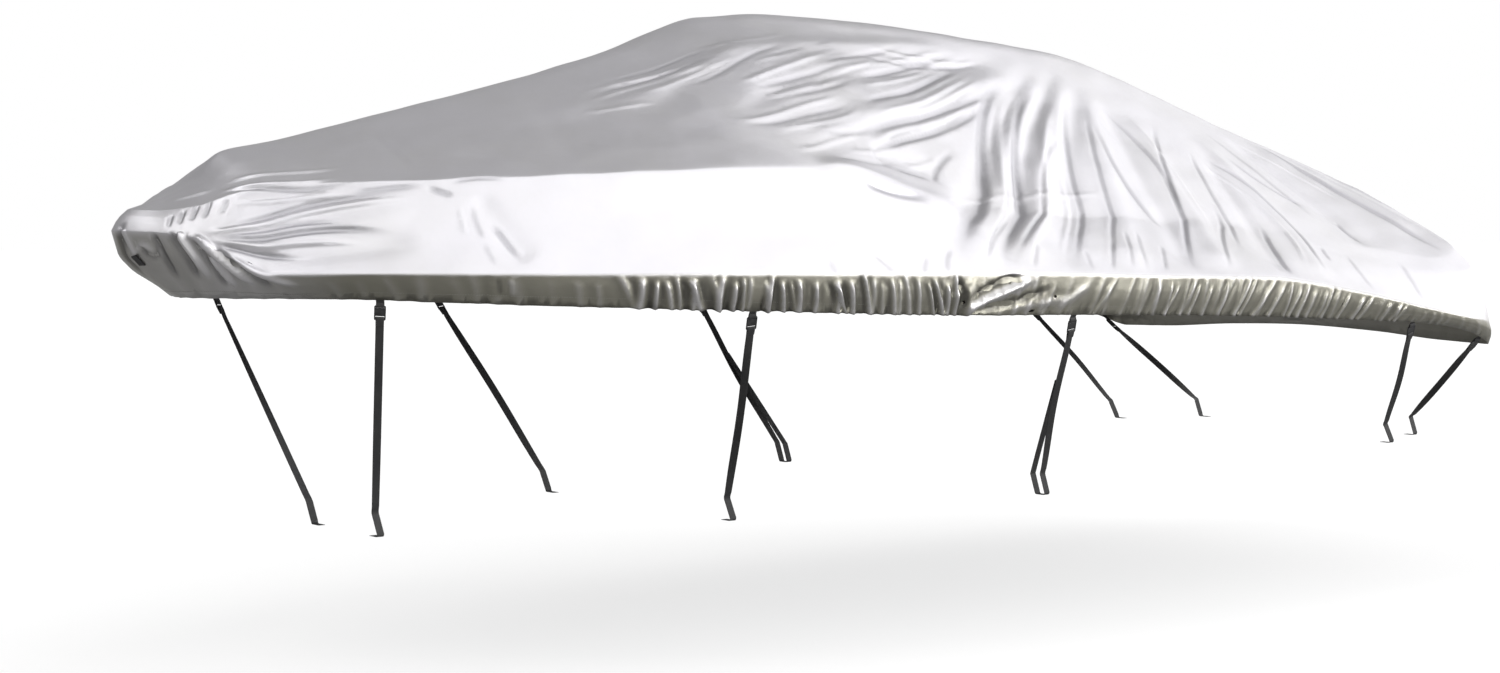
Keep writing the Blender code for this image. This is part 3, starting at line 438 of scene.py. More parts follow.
def lift_by(points, lift, path, rise, width, flare, onset, relief=None):
    """Adds one crease: a bell of the given half width across its path, which swells from nothing at
    each end. Fine creases have a shallow counter-wave beside them, as real ones do, and also go
    without it into the relief that the cloth's painted crease shade and paler crests are read from."""
    reach = REACH * width * max(1.0, flare)
    near = ((points > path.min(axis=0) - reach) & (points < path.max(axis=0) + reach)).all(axis=1)
    near = np.flatnonzero(near)
    distance, place = nearest_on(points[near], path)
    across = distance / (width * (1 + (flare - 1) * place))
    swell = np.sin(np.minimum(1.0, np.minimum(place, 1 - place) / onset) * math.pi / 2) ** 2
    bell = rise * swell * np.exp(-across ** 2)
    if relief is None:
        lift[near] += bell
    else:
        lift[near] += bell * (1 - COUNTER_WAVE * across ** 2)
        relief[near] += bell


def fold_path(row, side):
    """A fold of the solid: from one place to another, its middle moved along by its bend."""
    share = np.linspace(0.0, 1.0, FOLD_STEPS + 1)
    along = row["from_along"] + (row["to_along"] - row["from_along"]) * share
    along += row["bend"] * np.sin(math.pi * share)
    down = row["from_down"] + (row["to_down"] - row["from_down"]) * share
    return cloth_place(along, down, side)


def crease_path(row, side):
    """A fine crease: the parabola through its three places."""
    share = np.linspace(0.0, 1.0, FOLD_STEPS + 1)
    weights = np.stack([(1 - share) * (1 - 2 * share), 4 * share * (1 - share),
                        share * (2 * share - 1)])
    along = weights.T @ [row["a_along"], row["b_along"], row["c_along"]]
    down = weights.T @ [row["a_down"], row["b_down"], row["c_down"]]
    return cloth_place(along, down, side)


# One row for each station of a strap, the same on both sides: where it leaves the hem, where it is
# tied, how high its foot is, its twist in degrees, how far it sways aft, and the height of its
# returning end, if it has one.
STRAP_COLUMNS = ("hem_x", "anchor_x", "anchor_y", "foot_z", "twist", "sway", "tail")
STRAPS = (
    (-3.385, -3.20, 0.22, 0.400, 8, 0.000, 0.0),
    (-2.265, -2.05, 0.565, 0.400, 42, 0.006, 0.0),
    (-0.955, -0.79, 0.770, 0.420, 14, -0.012, 0.85),
    (0.885, 1.10, 0.770, 0.500, 18, 0.012, 0.0),
    (1.345, 1.47, 0.600, 0.500, 62, 0.004, 0.0),
)

# Pleats of the hem band, read along the edge: their mean pitch, how high they stand, and how far
# the foot of a pleat lies aft of its head.
PLEAT_COLUMNS = ("along", "pitch", "rise", "lean")
PLEATS = {
    -1: (
        (0.00, 0.090, 0.0015, 0.00), (0.70, 0.085, 0.0012, 0.02), (1.20, 0.060, 0.0026, 0.02),
        (1.45, 0.060, 0.0016, 0.02), (1.62, 0.046, 0.0040, 0.02), (1.75, 0.034, 0.0120, 0.02),
        (2.30, 0.034, 0.0135, 0.02), (2.84, 0.034, 0.0145, 0.03), (2.98, 0.040, 0.0050, 0.00),
        (3.40, 0.046, 0.0026, -0.05), (3.80, 0.036, 0.0052, -0.06), (4.60, 0.032, 0.0064, -0.05),
        (5.20, 0.036, 0.0052, -0.04), (5.55, 0.060, 0.0018, -0.02), (5.95, 0.090, 0.0030, 0.00),
        (6.875, 0.110, 0.0010, 0.00),
    ),
    1: (
        (0.00, 0.090, 0.0015, 0.00), (0.80, 0.080, 0.0015, 0.02), (1.50, 0.060, 0.0030, 0.02),
        (1.90, 0.046, 0.0080, 0.02), (3.10, 0.044, 0.0090, 0.03), (3.36, 0.046, 0.0040, 0.00),
        (3.80, 0.042, 0.0034, -0.05), (4.60, 0.038, 0.0054, -0.05), (5.40, 0.042, 0.0046, -0.04),
        (5.65, 0.060, 0.0018, -0.02), (5.95, 0.090, 0.0030, 0.00), (6.875, 0.110, 0.0010, 0.00),
    ),
}
PLEAT_FROM, PLEAT_FULL = 0.858, 0.035       # where pleats begin down the section, and their run-in
PLEAT_MARGIN = 0.01         # how far above that place the highest pleats' heads can lie
PLEAT_SEED = 5
END_MARGIN = 0.02           # no pleat lies this near the middle of bow or stern
SMALL_CHANCE, SMALL = 0.33, 0.45            # how many pleats are small ones, and how small
LEAN_SPREAD = 0.022
RISE_SPREAD = (0.55, 1.35)  # lowest and highest share of the table's rise
WIDTH_SPREAD = (0.20, 0.40)                 # half width, as a share of the pitch
HEAD_SPREAD = (-0.006, 0.030)               # how low a pleat's head is, down the section
PITCH_SPREAD = (0.60, 1.55)
PLEAT_REACH = 4             # half widths
PLEAT_POWER = 1.7           # how square a pleat's crest is
PLEAT_STEEP = (1.5, 0.8)    # on its fore side and on its aft side
PLEAT_SINK = 0.30           # how far the cloth between pleats lies in, as a share of their rise
PLEAT_FADE = 3.0            # half widths at which a pleat has faded
BAY = 0.026                 # half width of the flat place that a strap's tab is sewn in


def pleat_rows(which):
    """One row for each pleat of a side: place, lean, rise, half width and how low its head is. Its
    pitch strays by half from the table's, and one pleat in three is a small one."""
    rng = np.random.default_rng(PLEAT_SEED + which)
    column = dict(zip(PLEAT_COLUMNS, np.array(PLEATS[which]).T))
    found = []
    at = END_MARGIN
    while at < EDGE_LENGTH - END_MARGIN:
        pitch, rise, lean = (np.interp(at, column["along"], column[c]) for c in PLEAT_COLUMNS[1:])
        small = SMALL if rng.random() < SMALL_CHANCE else 1.0
        found.append((at, lean + rng.normal(0, LEAN_SPREAD), rise * small * rng.uniform(*RISE_SPREAD),
                      pitch * rng.uniform(*WIDTH_SPREAD), rng.uniform(*HEAD_SPREAD)))
        at += pitch * small * rng.uniform(*PITCH_SPREAD)
    return np.array(found)


PLEAT_ROWS = {which: pleat_rows(which) for which in (-1, 1)}
BAYS = np.interp([row[0] for row in STRAPS], section_column("hem_x", FINE_T), FINE_ALONG)


def pleats(along, down, side):
    """Height of the hem's pleats: the sum of one bell for each, across its own slanting line,
    steeper on its fore side, and flat where a tab is sewn behind the cloth."""
    height = np.zeros(len(along))
    for which, rows in PLEAT_ROWS.items():
        here = np.flatnonzero((side == which) & (down > PLEAT_FROM - PLEAT_MARGIN))
        at, fallen = along[here], (down[here] - EDGE) / (HEM - EDGE)
        total = np.zeros(len(here))
        for place, lean, rise, width, head in rows:
            off = at - place - lean * fallen
            near = np.flatnonzero(np.abs(off) < PLEAT_REACH * width)
            off = off[near] / width
            onset = np.clip((down[here][near] - PLEAT_FROM - head) / PLEAT_FULL, 0.0, 1.0)
            bell = np.exp(-np.abs(off) ** PLEAT_POWER * np.where(off < 0, *PLEAT_STEEP)) - PLEAT_SINK
            fade = np.exp(-(off / PLEAT_FADE) ** 4)
            total[near] += rise * bell * fade * onset ** 2 * (3 - 2 * onset)
        flat = 1 - np.exp(-((at[:, None] - BAYS[None]) / BAY) ** 4).sum(axis=1)
        height[here] = total * flat
    return height


SLACK_SEED = 11
SLACK_RISE = 0.0011         # height of the slow waves of slack cloth
SLACK_WAVES = 22
SLACK_LENGTHS = (0.15, 0.60)                # shortest and longest wave


def slack(points):
    """Slow unevenness of the big flats: a sum of plane waves 0.15 to 0.6 m long."""
    rng = np.random.default_rng(SLACK_SEED)
    height = np.zeros(len(points))
    for _ in range(SLACK_WAVES):
        way = rng.normal(size=3)
        way *= 2 * math.pi / rng.uniform(*SLACK_LENGTHS) / np.linalg.norm(way)
        height += np.sin(points @ way + rng.uniform(0, 2 * math.pi))
    return height * SLACK_RISE / math.sqrt(SLACK_WAVES / 2)


def cloth_lift(points, along, down, side):
    """How far folds, creases, pleats and slack lift the cloth at each of its smooth points, and the
    relief of its fine creases and pleats alone."""
    lift, relief = np.zeros(len(points)), np.zeros(len(points))
    for which, folds, creases in ((-1, PORT_FOLDS, PORT_CREASES),
                                  (1, STARBOARD_FOLDS, STARBOARD_CREASES)):
        for values in folds:
            row = dict(zip(FOLD_COLUMNS, values))
            lift_by(points, lift, fold_path(row, which), row["rise"], row["width"], row["flare"],
                    FOLD_ONSET)
        for values in creases:
            row = dict(zip(CREASE_COLUMNS, values))
            lift_by(points, lift, crease_path(row, which), row["rise"], row["width"], 1.0,
                    CREASE_ONSET, relief)
    gathered = pleats(along, down, side)
    return lift + gathered + slack(points), relief + gathered


def cloth_surface(along, down, side):
    """Points of the outer face, with its folds."""
    base = cloth_place(along, down, side)
    return base + cloth_normal(along, down, side) * cloth_lift(base, along, down, side)[0][:, None]


# ================================================================ building meshes
def make_object(name, points, faces):
    """A smooth piece whose place is in its mesh."""
    mesh = bpy.data.meshes.new(name)
    mesh.from_pydata(np.asarray(points, float).tolist(), [], faces)
    mesh.validate()
    mesh.shade_smooth()
    thing = bpy.data.objects.new(name, mesh)
    bpy.context.scene.collection.objects.link(thing)
    return thing


# Columns of the cloth's mesh along one side: how far apart they lie at places along the edge.
SPACING_AT = (0.00, 0.50, 0.60, 1.55, 1.65, 2.80, 2.90, 5.40, 5.70, 5.80, 6.05, 6.15, 6.875)
SPACING = (0.0060, 0.0060, 0.0080, 0.0080, 0.0060, 0.0060, 0.0056, 0.0056, 0.0075, 0.0050, 0.0050,
           0.0090, 0.0090)
COLUMNS = 1072              # a multiple of every step below
HEM_ROW = 0.845             # the mesh is finer from here down
OUTER_ROWS = 190
HEM_ROWS = 22
INNER_ROWS = 24
INNER_HEM_ROWS = 6
# Every how many columns a face has points, on each side: above the hem's fine rows, and in them.
STEPS = {-1: {"outer": 1, "inner": 8, "hem": 1}, 1: {"outer": 2, "inner": 8, "hem": 1}}
TRIANGLES = 196000          # what the dense cloth is thinned to, where it is flattest
INNER_DROP = 0.004          # how far the coarse inner face keeps below the lowest fold near it
WELD = 1e-5
KNUCKLE_ROWS = 4.0          # how many times closer rows lie at the knuckle, less one
KNUCKLE_REACH = 0.012       # how far from it that holds, down the section
FINE_COLUMNS, FINE_ROWS = 4000, 800         # samples that the places of columns and rows are read from
GIRTH_COLUMNS, GIRTH_ROWS = 120, 60         # samples that the section's length is read from
BAND_FROM, BAND_FULL = 0.852, 0.872         # where the hem band's painted shade sets in, down the section
BAND_ALONG = (0.0, 0.05, 0.18, 0.28, 0.48, 0.80, 5.60, 6.875)
BAND_SHADE = (0.85, 0.60, 0.58, 0.42, 0.55, 1.0, 1.0, 0.8)     # how strong that painted shade is there, strong at the bow's front, which faces away from the light
CREASE_SHADE_DEPTH = 0.005                        # depth of a crease that gets the full painted shade in its hollow
CREST_HEIGHT, CREST_PALER = 0.007, 0.6      # a crest of that height has so much less of the hem's painted shade, a painted highlight


def column_places():
    """Distances along the edge of the mesh's columns, close together where folds are fine."""
    fine = np.linspace(0.0, EDGE_LENGTH, FINE_COLUMNS)
    count = np.concatenate([[0.0], np.cumsum(1 / np.interp(fine[1:], SPACING_AT, SPACING))])
    return np.interp(np.linspace(0.0, count[-1], COLUMNS + 1), count, fine)


def skin_rows(rows_above, rows_below):
    """Shares of the way down of a skin's rows."""
    fine = np.linspace(0.0, HEM_ROW, FINE_ROWS)
    close = 1 + KNUCKLE_ROWS * np.exp(-((fine - KNUCKLE) / KNUCKLE_REACH) ** 2)
    count = np.concatenate([[0.0], np.cumsum(close[1:])])
    above = np.interp(np.linspace(0.0, count[-1], rows_above + 1), count, fine)
    return np.concatenate([above, np.linspace(HEM_ROW, HEM, rows_below + 1)[1:]])


class Skin:
    """One face of the cloth as rows of points; a row may have fewer columns than the next."""

    def __init__(self, places, kind):
        self.inner = kind == "inner"
        self.rows = (skin_rows(INNER_ROWS, INNER_HEM_ROWS) if self.inner
                     else skin_rows(OUTER_ROWS, HEM_ROWS))
        self.first = {}
        self.steps = {}
        along, down, side = [], [], []
        count = 0
        for which in (-1, 1):
            for r, share in enumerate(self.rows):
                step = STEPS[which]["hem"] if share > HEM_ROW - WELD else STEPS[which][kind]
                if r == 0:
                    step = STEPS[-1][kind]      # both sides share the ridge
                columns = places[::step]
                self.first[which, r] = count
                self.steps[which, r] = step
                count += len(columns)
                along.append(columns)
                down.append(np.full(len(columns), share))
                side.append(np.full(len(columns), float(which)))
        self.along, self.down, self.side = map(np.concatenate, (along, down, side))

    def faces(self, start):
        """Cells between rows, their points counted from start. Where the next row has more columns,
        a cell has its extra corners."""
        found = []
        for which in (-1, 1):
            for r in range(len(self.rows) - 1):
                high, low = self.steps[which, r], self.steps[which, r + 1]
                wide = max(high, low)
                fore = np.arange(0, COLUMNS, wide)[:, None]
                top = self.first[which, r] + fore // high + np.arange(wide // high + 1)
                bottom = self.first[which, r + 1] + fore // low + np.arange(wide // low + 1)
                cells = np.concatenate([bottom, top[:, ::-1]], axis=1) + start
                if (which < 0) == self.inner:
                    cells = cells[:, ::-1]
                found += cells.tolist()
        return found

    def hem(self, which):
        """Numbers of the points along one side's lower edge."""
        last = len(self.rows) - 1
        return self.first[which, last] + np.arange(COLUMNS // self.steps[which, last] + 1)


def lowest_round(field, down, across):
    """The lowest value within so many cells of each, in a grid of rows and columns."""
    lowest = field.copy()
    for shift in range(1, down + 1):
        lowest[shift:] = np.minimum(lowest[shift:], field[:-shift])
        lowest[:-shift] = np.minimum(lowest[:-shift], field[shift:])
    field = lowest.copy()
    for shift in range(1, across + 1):
        lowest[:, shift:] = np.minimum(lowest[:, shift:], field[:, :-shift])
        lowest[:, :-shift] = np.minimum(lowest[:, :-shift], field[:, shift:])
    return lowest


def inner_floor(outer, lift, inner, coarse, places):
    """For each coarse inner point, the lowest lift of the outer face in the cells round it."""
    found = np.zeros(len(inner.down))
    for which in (-1, 1):
        step = STEPS[which]["outer"]
        rows = [r for r in range(len(outer.rows)) if outer.rows[r] < HEM_ROW - WELD]
        field = []
        for r in rows:
            first, own = outer.first[which, r], outer.steps[which, r]
            field.append(lift[first:first + COLUMNS // own + 1][::step // own])
        lowest = lowest_round(np.stack(field), math.ceil(OUTER_ROWS / INNER_ROWS),
                              STEPS[which]["inner"] // step)
        mine = coarse & (inner.side == which)
        row = np.round(np.interp(inner.down[mine], outer.rows[rows], rows)).astype(int)
        column = np.interp(inner.along[mine], places, np.arange(len(places))) / step
        column = np.round(column).astype(int)
        found[mine] = lowest[row, column]
    return found[coarse]


def lower_of_shared(lift, skin):
    """Where both sides have a point on the centreline, both take the lower lift of the two."""
    ends = (skin.along < WELD) | (skin.along > EDGE_LENGTH - WELD)
    shared = np.flatnonzero((skin.down < WELD) | ends)
    keys = np.round(np.stack([skin.along[shared], skin.down[shared]], axis=1), decimals=6)
    which = np.unique(keys, axis=0, return_inverse=True)[1].ravel()
    lowest = np.full(which.max() + 1, np.inf)
    np.minimum.at(lowest, which, lift[shared])
    lift = lift.copy()
    lift[shared] = lowest[which]
    return lift


def make_cloth():
    """The cloth: a fine outer face with every fold, and a plainer inner face under it."""
    places = column_places()
    outer, inner = Skin(places, "outer"), Skin(places, "inner")
    base = cloth_place(outer.along, outer.down, outer.side)
    lift, relief = cloth_lift(base, outer.along, outer.down, outer.side)
    lift = lower_of_shared(lift, outer)
    outside = base + cloth_normal(outer.along, outer.down, outer.side) * lift[:, None]

    under = cloth_place(inner.along, inner.down, inner.side)
    own = cloth_lift(under, inner.along, inner.down, inner.side)[0]
    coarse = inner.down < HEM_ROW - WELD
    own[coarse] = np.minimum(own[coarse], inner_floor(outer, lift, inner, coarse, places))
    level = lower_of_shared(own, inner) - np.where(coarse, INNER_DROP, CLOTH)
    inside = under + cloth_normal(inner.along, inner.down, inner.side) * level[:, None]

    count = len(outside)
    faces = outer.faces(0) + inner.faces(count)
    for which in (-1, 1):
        out, back = outer.hem(which), inner.hem(which) + count
        wall = np.stack([out[:-1], out[1:], back[1:], back[:-1]], axis=1)
        faces += wall[:, (0, 3, 2, 1) if which < 0 else (0, 1, 2, 3)].tolist()
    along = np.concatenate([outer.along, inner.along])
    down = np.concatenate([outer.down, inner.down])
    side = np.concatenate([outer.side, inner.side])
    relief = np.pad(relief, (0, len(inside)))
    cloth = make_object("cloth", np.concatenate([outside, inside]), faces)
    set_uv(cloth, along, side * down * girth_at(along))
    # Painted shade on the hem band and the bow's front, where the cloth turns under and faces away from
    # the light.
    shade = np.clip((down - BAND_FROM) / (BAND_FULL - BAND_FROM), 0, 1)
    # Crests of creases and pleats get less of the painted shade: a painted highlight.
    paler = 1 - CREST_PALER * np.clip(relief / CREST_HEIGHT, 0, 1)
    set_attribute(cloth, "band", shade * paler * np.interp(along, BAND_ALONG, BAND_SHADE))
    # Painted shade in the hollows of creases and pleats.
    set_attribute(cloth, "crease_shade", np.clip(-relief / CREASE_SHADE_DEPTH, 0, 1))
    weld(cloth)
    thin_out(cloth)
    return cloth


def thin_out(thing):
    """Thins a dense mesh to the number of triangles that a piece may have: most where it is flat,
    least in folds. The thinned mesh keeps the dense one's way of catching light."""
    dense = bpy.data.objects.new("dense", thing.data.copy())
    bpy.context.scene.collection.objects.link(dense)
    corners = sum(len(face.vertices) - 2 for face in thing.data.polygons)
    thinner = thing.modifiers.new("thinner", "DECIMATE")
    thinner.ratio = TRIANGLES / corners
    light = thing.modifiers.new("light", "DATA_TRANSFER")
    light.object = dense
    light.use_loop_data = True
    light.data_types_loops = {"CUSTOM_NORMAL"}
    light.loop_mapping = "POLYINTERP_NEAREST"
    graph = bpy.context.evaluated_depsgraph_get()
    mesh = bpy.data.meshes.new_from_object(thing.evaluated_get(graph))
    thing.modifiers.clear()
    thing.data = mesh
    bpy.data.objects.remove(dense)


def girth_at(along):
    """Length of the section from ridge to hem, at distances along the edge."""
    few = np.linspace(0.0, EDGE_LENGTH, GIRTH_COLUMNS)
    rows = np.linspace(0.0, HEM, GIRTH_ROWS)
    section = cloth_place(few[:, None], rows[None], -1.0)
    length = np.linalg.norm(np.diff(section, axis=1), axis=2).sum(axis=1)
    return np.interp(along, few, length)


def set_uv(thing, u, v):
    """Gives each corner of each face its point's own place in the cut cloth, in metres."""
    mesh = thing.data
    corners = np.zeros(len(mesh.loops), int)
    mesh.loops.foreach_get("vertex_index", corners)
    layer = mesh.uv_layers.new(name="cut")
    layer.data.foreach_set("uv", np.stack([u[corners], v[corners]], axis=1).ravel())


def set_attribute(thing, name, values):
    """A number for each point, which materials read."""
    layer = thing.data.attributes.new(name, "FLOAT", "POINT")
    layer.data.foreach_set("value", values)


def weld(thing):
    """Joins the points that two sides share, so that a piece is one closed shell."""
    body = bmesh.new()
    body.from_mesh(thing.data)
    bmesh.ops.remove_doubles(body, verts=body.verts, dist=WELD)
    body.to_mesh(thing.data)
    body.free()


# ================================================================ webbing and buckles
STRAP_WIDTH = 0.026
WEBBING = 0.0016            # thickness of the webbing
ANCHOR_DEPTH = 0.075        # height of the webbing's upright stretch above its foot
FOOT_LENGTH = 0.050         # webbing turned inward
BEND = 0.008                # size of the webbing's turn into its foot
TAIL_GAP = 0.008            # between a tail's end and the leg in front of it
AFT = np.array([1.0, 0.0, 0.0])
UP = np.array([0.0, 0.0, 1.0])

FLAT_POINTS = 7             # across each flat side of the webbing
SELVEDGE = np.radians((45.0, 90.0, 135.0))  # where its round selvedges have points
WEBBING_SHARP, BUCKLE_SHARP = 50, 40        # degrees past which an edge catches the light sharply

BUCKLE = (0.036, 0.050, 0.0045)             # width, length, thickness of its frame
BUCKLE_ROUND = 0.0011
BUCKLE_RADIUS, SLOT_RADIUS = 0.004, 0.002   # of their corners, seen flat
SLOT_WIDTH = 0.0275
SLOTS = ((0.0030, -0.0176), (0.0050, 0.0140))   # length, and middle down from the buckle's own
SLOT_CORNERS = 6            # points round each corner
LIP_FROM, LIP_RUN, LIP_RISE = 0.006, 0.019, 0.0035      # where the lower bar leans out, and how far
BAR_GAP = BUCKLE[2] / 2 + WEBBING * 0.55    # from a bar's middle to the webbing on it

TAB_LENGTH = 0.034          # webbing sewn to the inside of the hem
TAB_HEIGHTS = np.array([TAB_LENGTH, TAB_LENGTH * 0.6, TAB_LENGTH * 0.25, 0.0015])
TAB_GAP = 0.0006            # between the cloth and its tab
TAB_TURNS_AT = 0.7          # share of the sewn length after which a tab turns to face its buckle
TOP_BAR, LOWER_BAR = 0.0028, 0.005          # middles of those bars, in from the buckle's ends
LIP_OUT = 0.0022            # how far out the lower bar lies
# The tab's way round the top bar, and the leg's round the lower: down from its middle, and out.
TAB_LOOP = ((-0.0100, -BAR_GAP), (0.0, -BAR_GAP), (0.0042, 0.0), (0.0, BAR_GAP),
            (-0.0080, BAR_GAP - 0.001), (-0.0135, WEBBING * 1.1 - BAR_GAP))
LEG_LOOP = ((0.0260, BAR_GAP - 0.0012), (0.0100, BAR_GAP), (0.0, BAR_GAP), (-0.0062, 0.0),
            (0.0, -BAR_GAP - 0.001), (0.0090, -0.0047))
LEG_SHARES = np.linspace(0.045, 1.0, 22)    # places down the leg
FOOT_TURN = np.array(((0.0, 1.0), (0.3, 0.25), (1.0, 0.0), (2.0, 0.0))) * BEND     # inboard, up
TAB_STEP, LEG_STEP, LOOP_STEP = 0.003, 0.006, 0.0025    # run between two points of each


def unit(vector):
    """The direction of each vector, one long."""
    vector = np.asarray(vector, float)
    return vector / np.linalg.norm(vector, axis=-1, keepdims=True)


def spots(origin, offsets, first, second):
    """Places given by how far each lies from an origin along two directions."""
    offsets = np.array(offsets)
    return origin + offsets[:, :1] * first + offsets[:, 1:] * second


def smooth_path(points, step):
    """A Catmull-Rom curve through the points, cut into runs of about one step."""
    points = np.asarray(points, float)
    ends = np.concatenate([[2 * points[0] - points[1]], points, [2 * points[-1] - points[-2]]])
    found = []
    for k in range(len(points) - 1):
        a, b, c, d = ends[k:k + 4]
        count = max(2, int(round(np.linalg.norm(c - b) / step)))
        q = np.linspace(0.0, 1.0, count + 1)[:-1, None]
        pull = min(np.linalg.norm(b - a), np.linalg.norm(c - b), np.linalg.norm(d - c))
        m, n = unit(c - a) * pull, unit(d - b) * pull
        found.append(b * (2 * q ** 3 - 3 * q ** 2 + 1) + m * (q ** 3 - 2 * q ** 2 + q)
                     + c * (3 * q ** 2 - 2 * q ** 3) + n * (q ** 3 - q ** 2))
    return np.concatenate(found + [points[-1:]])


def ribbon(name, path, across, width=STRAP_WIDTH, thickness=WEBBING):
    """Webbing along a path: a flat bar with round selvedges, carried along it square to its run."""
    run = unit(np.gradient(path, axis=0))
    across = unit(across - run * (across * run).sum(axis=1, keepdims=True))
    through = np.cross(run, across)
    flat = np.linspace(-1.0, 1.0, FLAT_POINTS) * (width - thickness) / 2
    half = np.concatenate([
        np.stack([flat, np.full(FLAT_POINTS, thickness / 2)], axis=1),
        np.stack([width / 2 - thickness / 2 * (1 - np.sin(SELVEDGE)),
                  thickness / 2 * np.cos(SELVEDGE)], axis=1),
    ])
    sides = np.concatenate([half, -half])
    n, m = len(path), len(sides)
    points = (path[:, None] + across[:, None] * sides[None, :, :1]
              + through[:, None] * sides[None, :, 1:]).reshape(-1, 3)
    i = np.arange(n - 1)[:, None] * m
    j = np.arange(m)[None]
    after = (j + 1) % m
    cells = np.stack([i + j, i + after, i + m + after, i + m + j], axis=-1).reshape(-1, 4)
    faces = cells.tolist() + [list(range(m))[::-1], list(range((n - 1) * m, n * m))]
    thing = make_object(name, points, faces)
    fix_normals(thing)
    length = np.concatenate([[0.0], np.cumsum(np.linalg.norm(np.diff(path, axis=0), axis=1))])
    set_uv(thing, np.repeat(length, m), np.tile(sides[:, 0], n))
    thing.data.set_sharp_from_angle(angle=math.radians(WEBBING_SHARP))
    return thing


def fix_normals(thing):
    """Turns every face of a closed piece outwards."""
    body = bmesh.new()
    body.from_mesh(thing.data)
    bmesh.ops.recalc_face_normals(body, faces=body.faces)
    body.to_mesh(thing.data)
    body.free()


def node_points(node):
    """The corners of a CAD node's mesh, each once."""
    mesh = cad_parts[node].data
    points = np.zeros(len(mesh.vertices) * 3, np.float32)
    mesh.vertices.foreach_get("co", points)
    return np.unique(np.round(points.reshape(-1, 3).astype(float), decimals=6), axis=0)


def rounded_oblong(width, length, radius, middle=(0.0, 0.0)):
    """Corners of an oblong with round corners, in order."""
    found = []
    for quarter, (x, y) in enumerate(((1, 1), (-1, 1), (-1, -1), (1, -1))):
        turn = math.pi / 2 * (quarter + np.linspace(0.0, 1.0, SLOT_CORNERS))
        found.append(np.stack([x * (width / 2 - radius) + radius * np.cos(turn) + middle[0],
                               y * (length / 2 - radius) + radius * np.sin(turn) + middle[1]], axis=1))
    return np.concatenate(found)


def buckle_shape():
    """A ladder buckle, flat in x and y: an oblong with two slots, thickened and rounded. Its lower
    bar leans out, as a ladder buckle's lip does. Returns its points and faces."""
    curve = bpy.data.curves.new("buckle", "CURVE")
    curve.dimensions = "2D"
    curve.fill_mode = "BOTH"
    width, length, thickness = BUCKLE
    both = 2 * BUCKLE_ROUND
    outlines = [rounded_oblong(width - both, length - both, BUCKLE_RADIUS)]
    for slot_length, slot_middle in SLOTS:
        outlines.append(rounded_oblong(SLOT_WIDTH + both, slot_length + both, SLOT_RADIUS,
                                       (0, slot_middle)))
    for outline in outlines:
        spline = curve.splines.new("POLY")
        spline.points.add(len(outline) - 1)
        spline.points.foreach_set("co", np.pad(outline, ((0, 0), (0, 2))).ravel())
        spline.use_cyclic_u = True
    curve.extrude = thickness / 2 - BUCKLE_ROUND
    curve.bevel_depth = BUCKLE_ROUND
    curve.bevel_resolution = 2
    flat = bpy.data.objects.new("buckle_shape", curve)
    bpy.context.scene.collection.objects.link(flat)
    graph = bpy.context.evaluated_depsgraph_get()
    mesh = bpy.data.meshes.new_from_object(flat.evaluated_get(graph))
    points = np.zeros(len(mesh.vertices) * 3)
    mesh.vertices.foreach_get("co", points)
    points = points.reshape(-1, 3)
    faces = [list(face.vertices) for face in mesh.polygons]
    bpy.data.objects.remove(flat)
    lip = np.clip((points[:, 1] - LIP_FROM) / LIP_RUN, 0.0, 1.0)
    points[:, 2] += LIP_RISE * lip ** 2
    return points, faces


def buckle_axes(name, anchor_top, side):
    """Where a buckle's CAD node lies: its middle, then the directions across it, down it towards
    what the strap is tied to, and out of its face. Across is the long way of the node's corners."""
    low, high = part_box("buckle_" + name)
    middle = (np.array(low) + np.array(high)) / 2
    pull = unit(anchor_top - middle)
    corners = node_points("buckle_" + name) - middle
    corners -= np.outer(corners @ pull, pull)
    level = np.linalg.svd(corners)[2][0]
    level *= np.sign(level[0])
    level = unit(level)
    return middle, level, pull, np.cross(level, pull) * side


def make_buckle(name, shape, axes):
    """One ladder buckle, the same shape at every station."""
    middle, *directions = axes
    points, faces = shape
    buckle = make_object("buckle_piece_" + name, middle + points @ np.array(directions), faces)
    weld(buckle)
    fix_normals(buckle)
    buckle.data.set_sharp_from_angle(angle=math.radians(BUCKLE_SHARP))
    finish_piece(buckle, "buckle", "buckle_" + name)
    return buckle


def make_tab(name, hem_x, side, axes):
    """The tab: down the inside of the hem, behind the buckle's top bar, round it and up in front."""
    middle, level, pull, out = axes
    along = float(np.interp(hem_x, section_column("hem_x", FINE_T), FINE_ALONG))
    band = float(np.linalg.norm(cloth_place(along, HEM, side) - cloth_place(along, EDGE, side)))
    share = HEM - (HEM - EDGE) / band * TAB_HEIGHTS
    seat = cloth_surface(np.full(4, along), share, np.full(4, float(side)))
    inward = cloth_normal(np.full(4, along), share, side)
    seat = seat - inward * (CLOTH + TAB_GAP + WEBBING / 2)
    bar = middle + pull * (TOP_BAR - BUCKLE[1] / 2)
    path = smooth_path(np.concatenate([seat, spots(bar, TAB_LOOP, pull, out)]), TAB_STEP)
    passed = np.linalg.norm(path - seat[0], axis=1) / TAB_LENGTH
    away = np.clip(passed - TAB_TURNS_AT, 0.0, 1.0)[:, None]
    run = unit(cloth_place(along + 0.01, HEM, side) - cloth_place(along - 0.01, HEM, side))
    tab = ribbon("tab_piece_" + name, path, run * (1 - away) + level * away)
    finish_piece(tab, "webbing", "tab_" + name)
    return tab


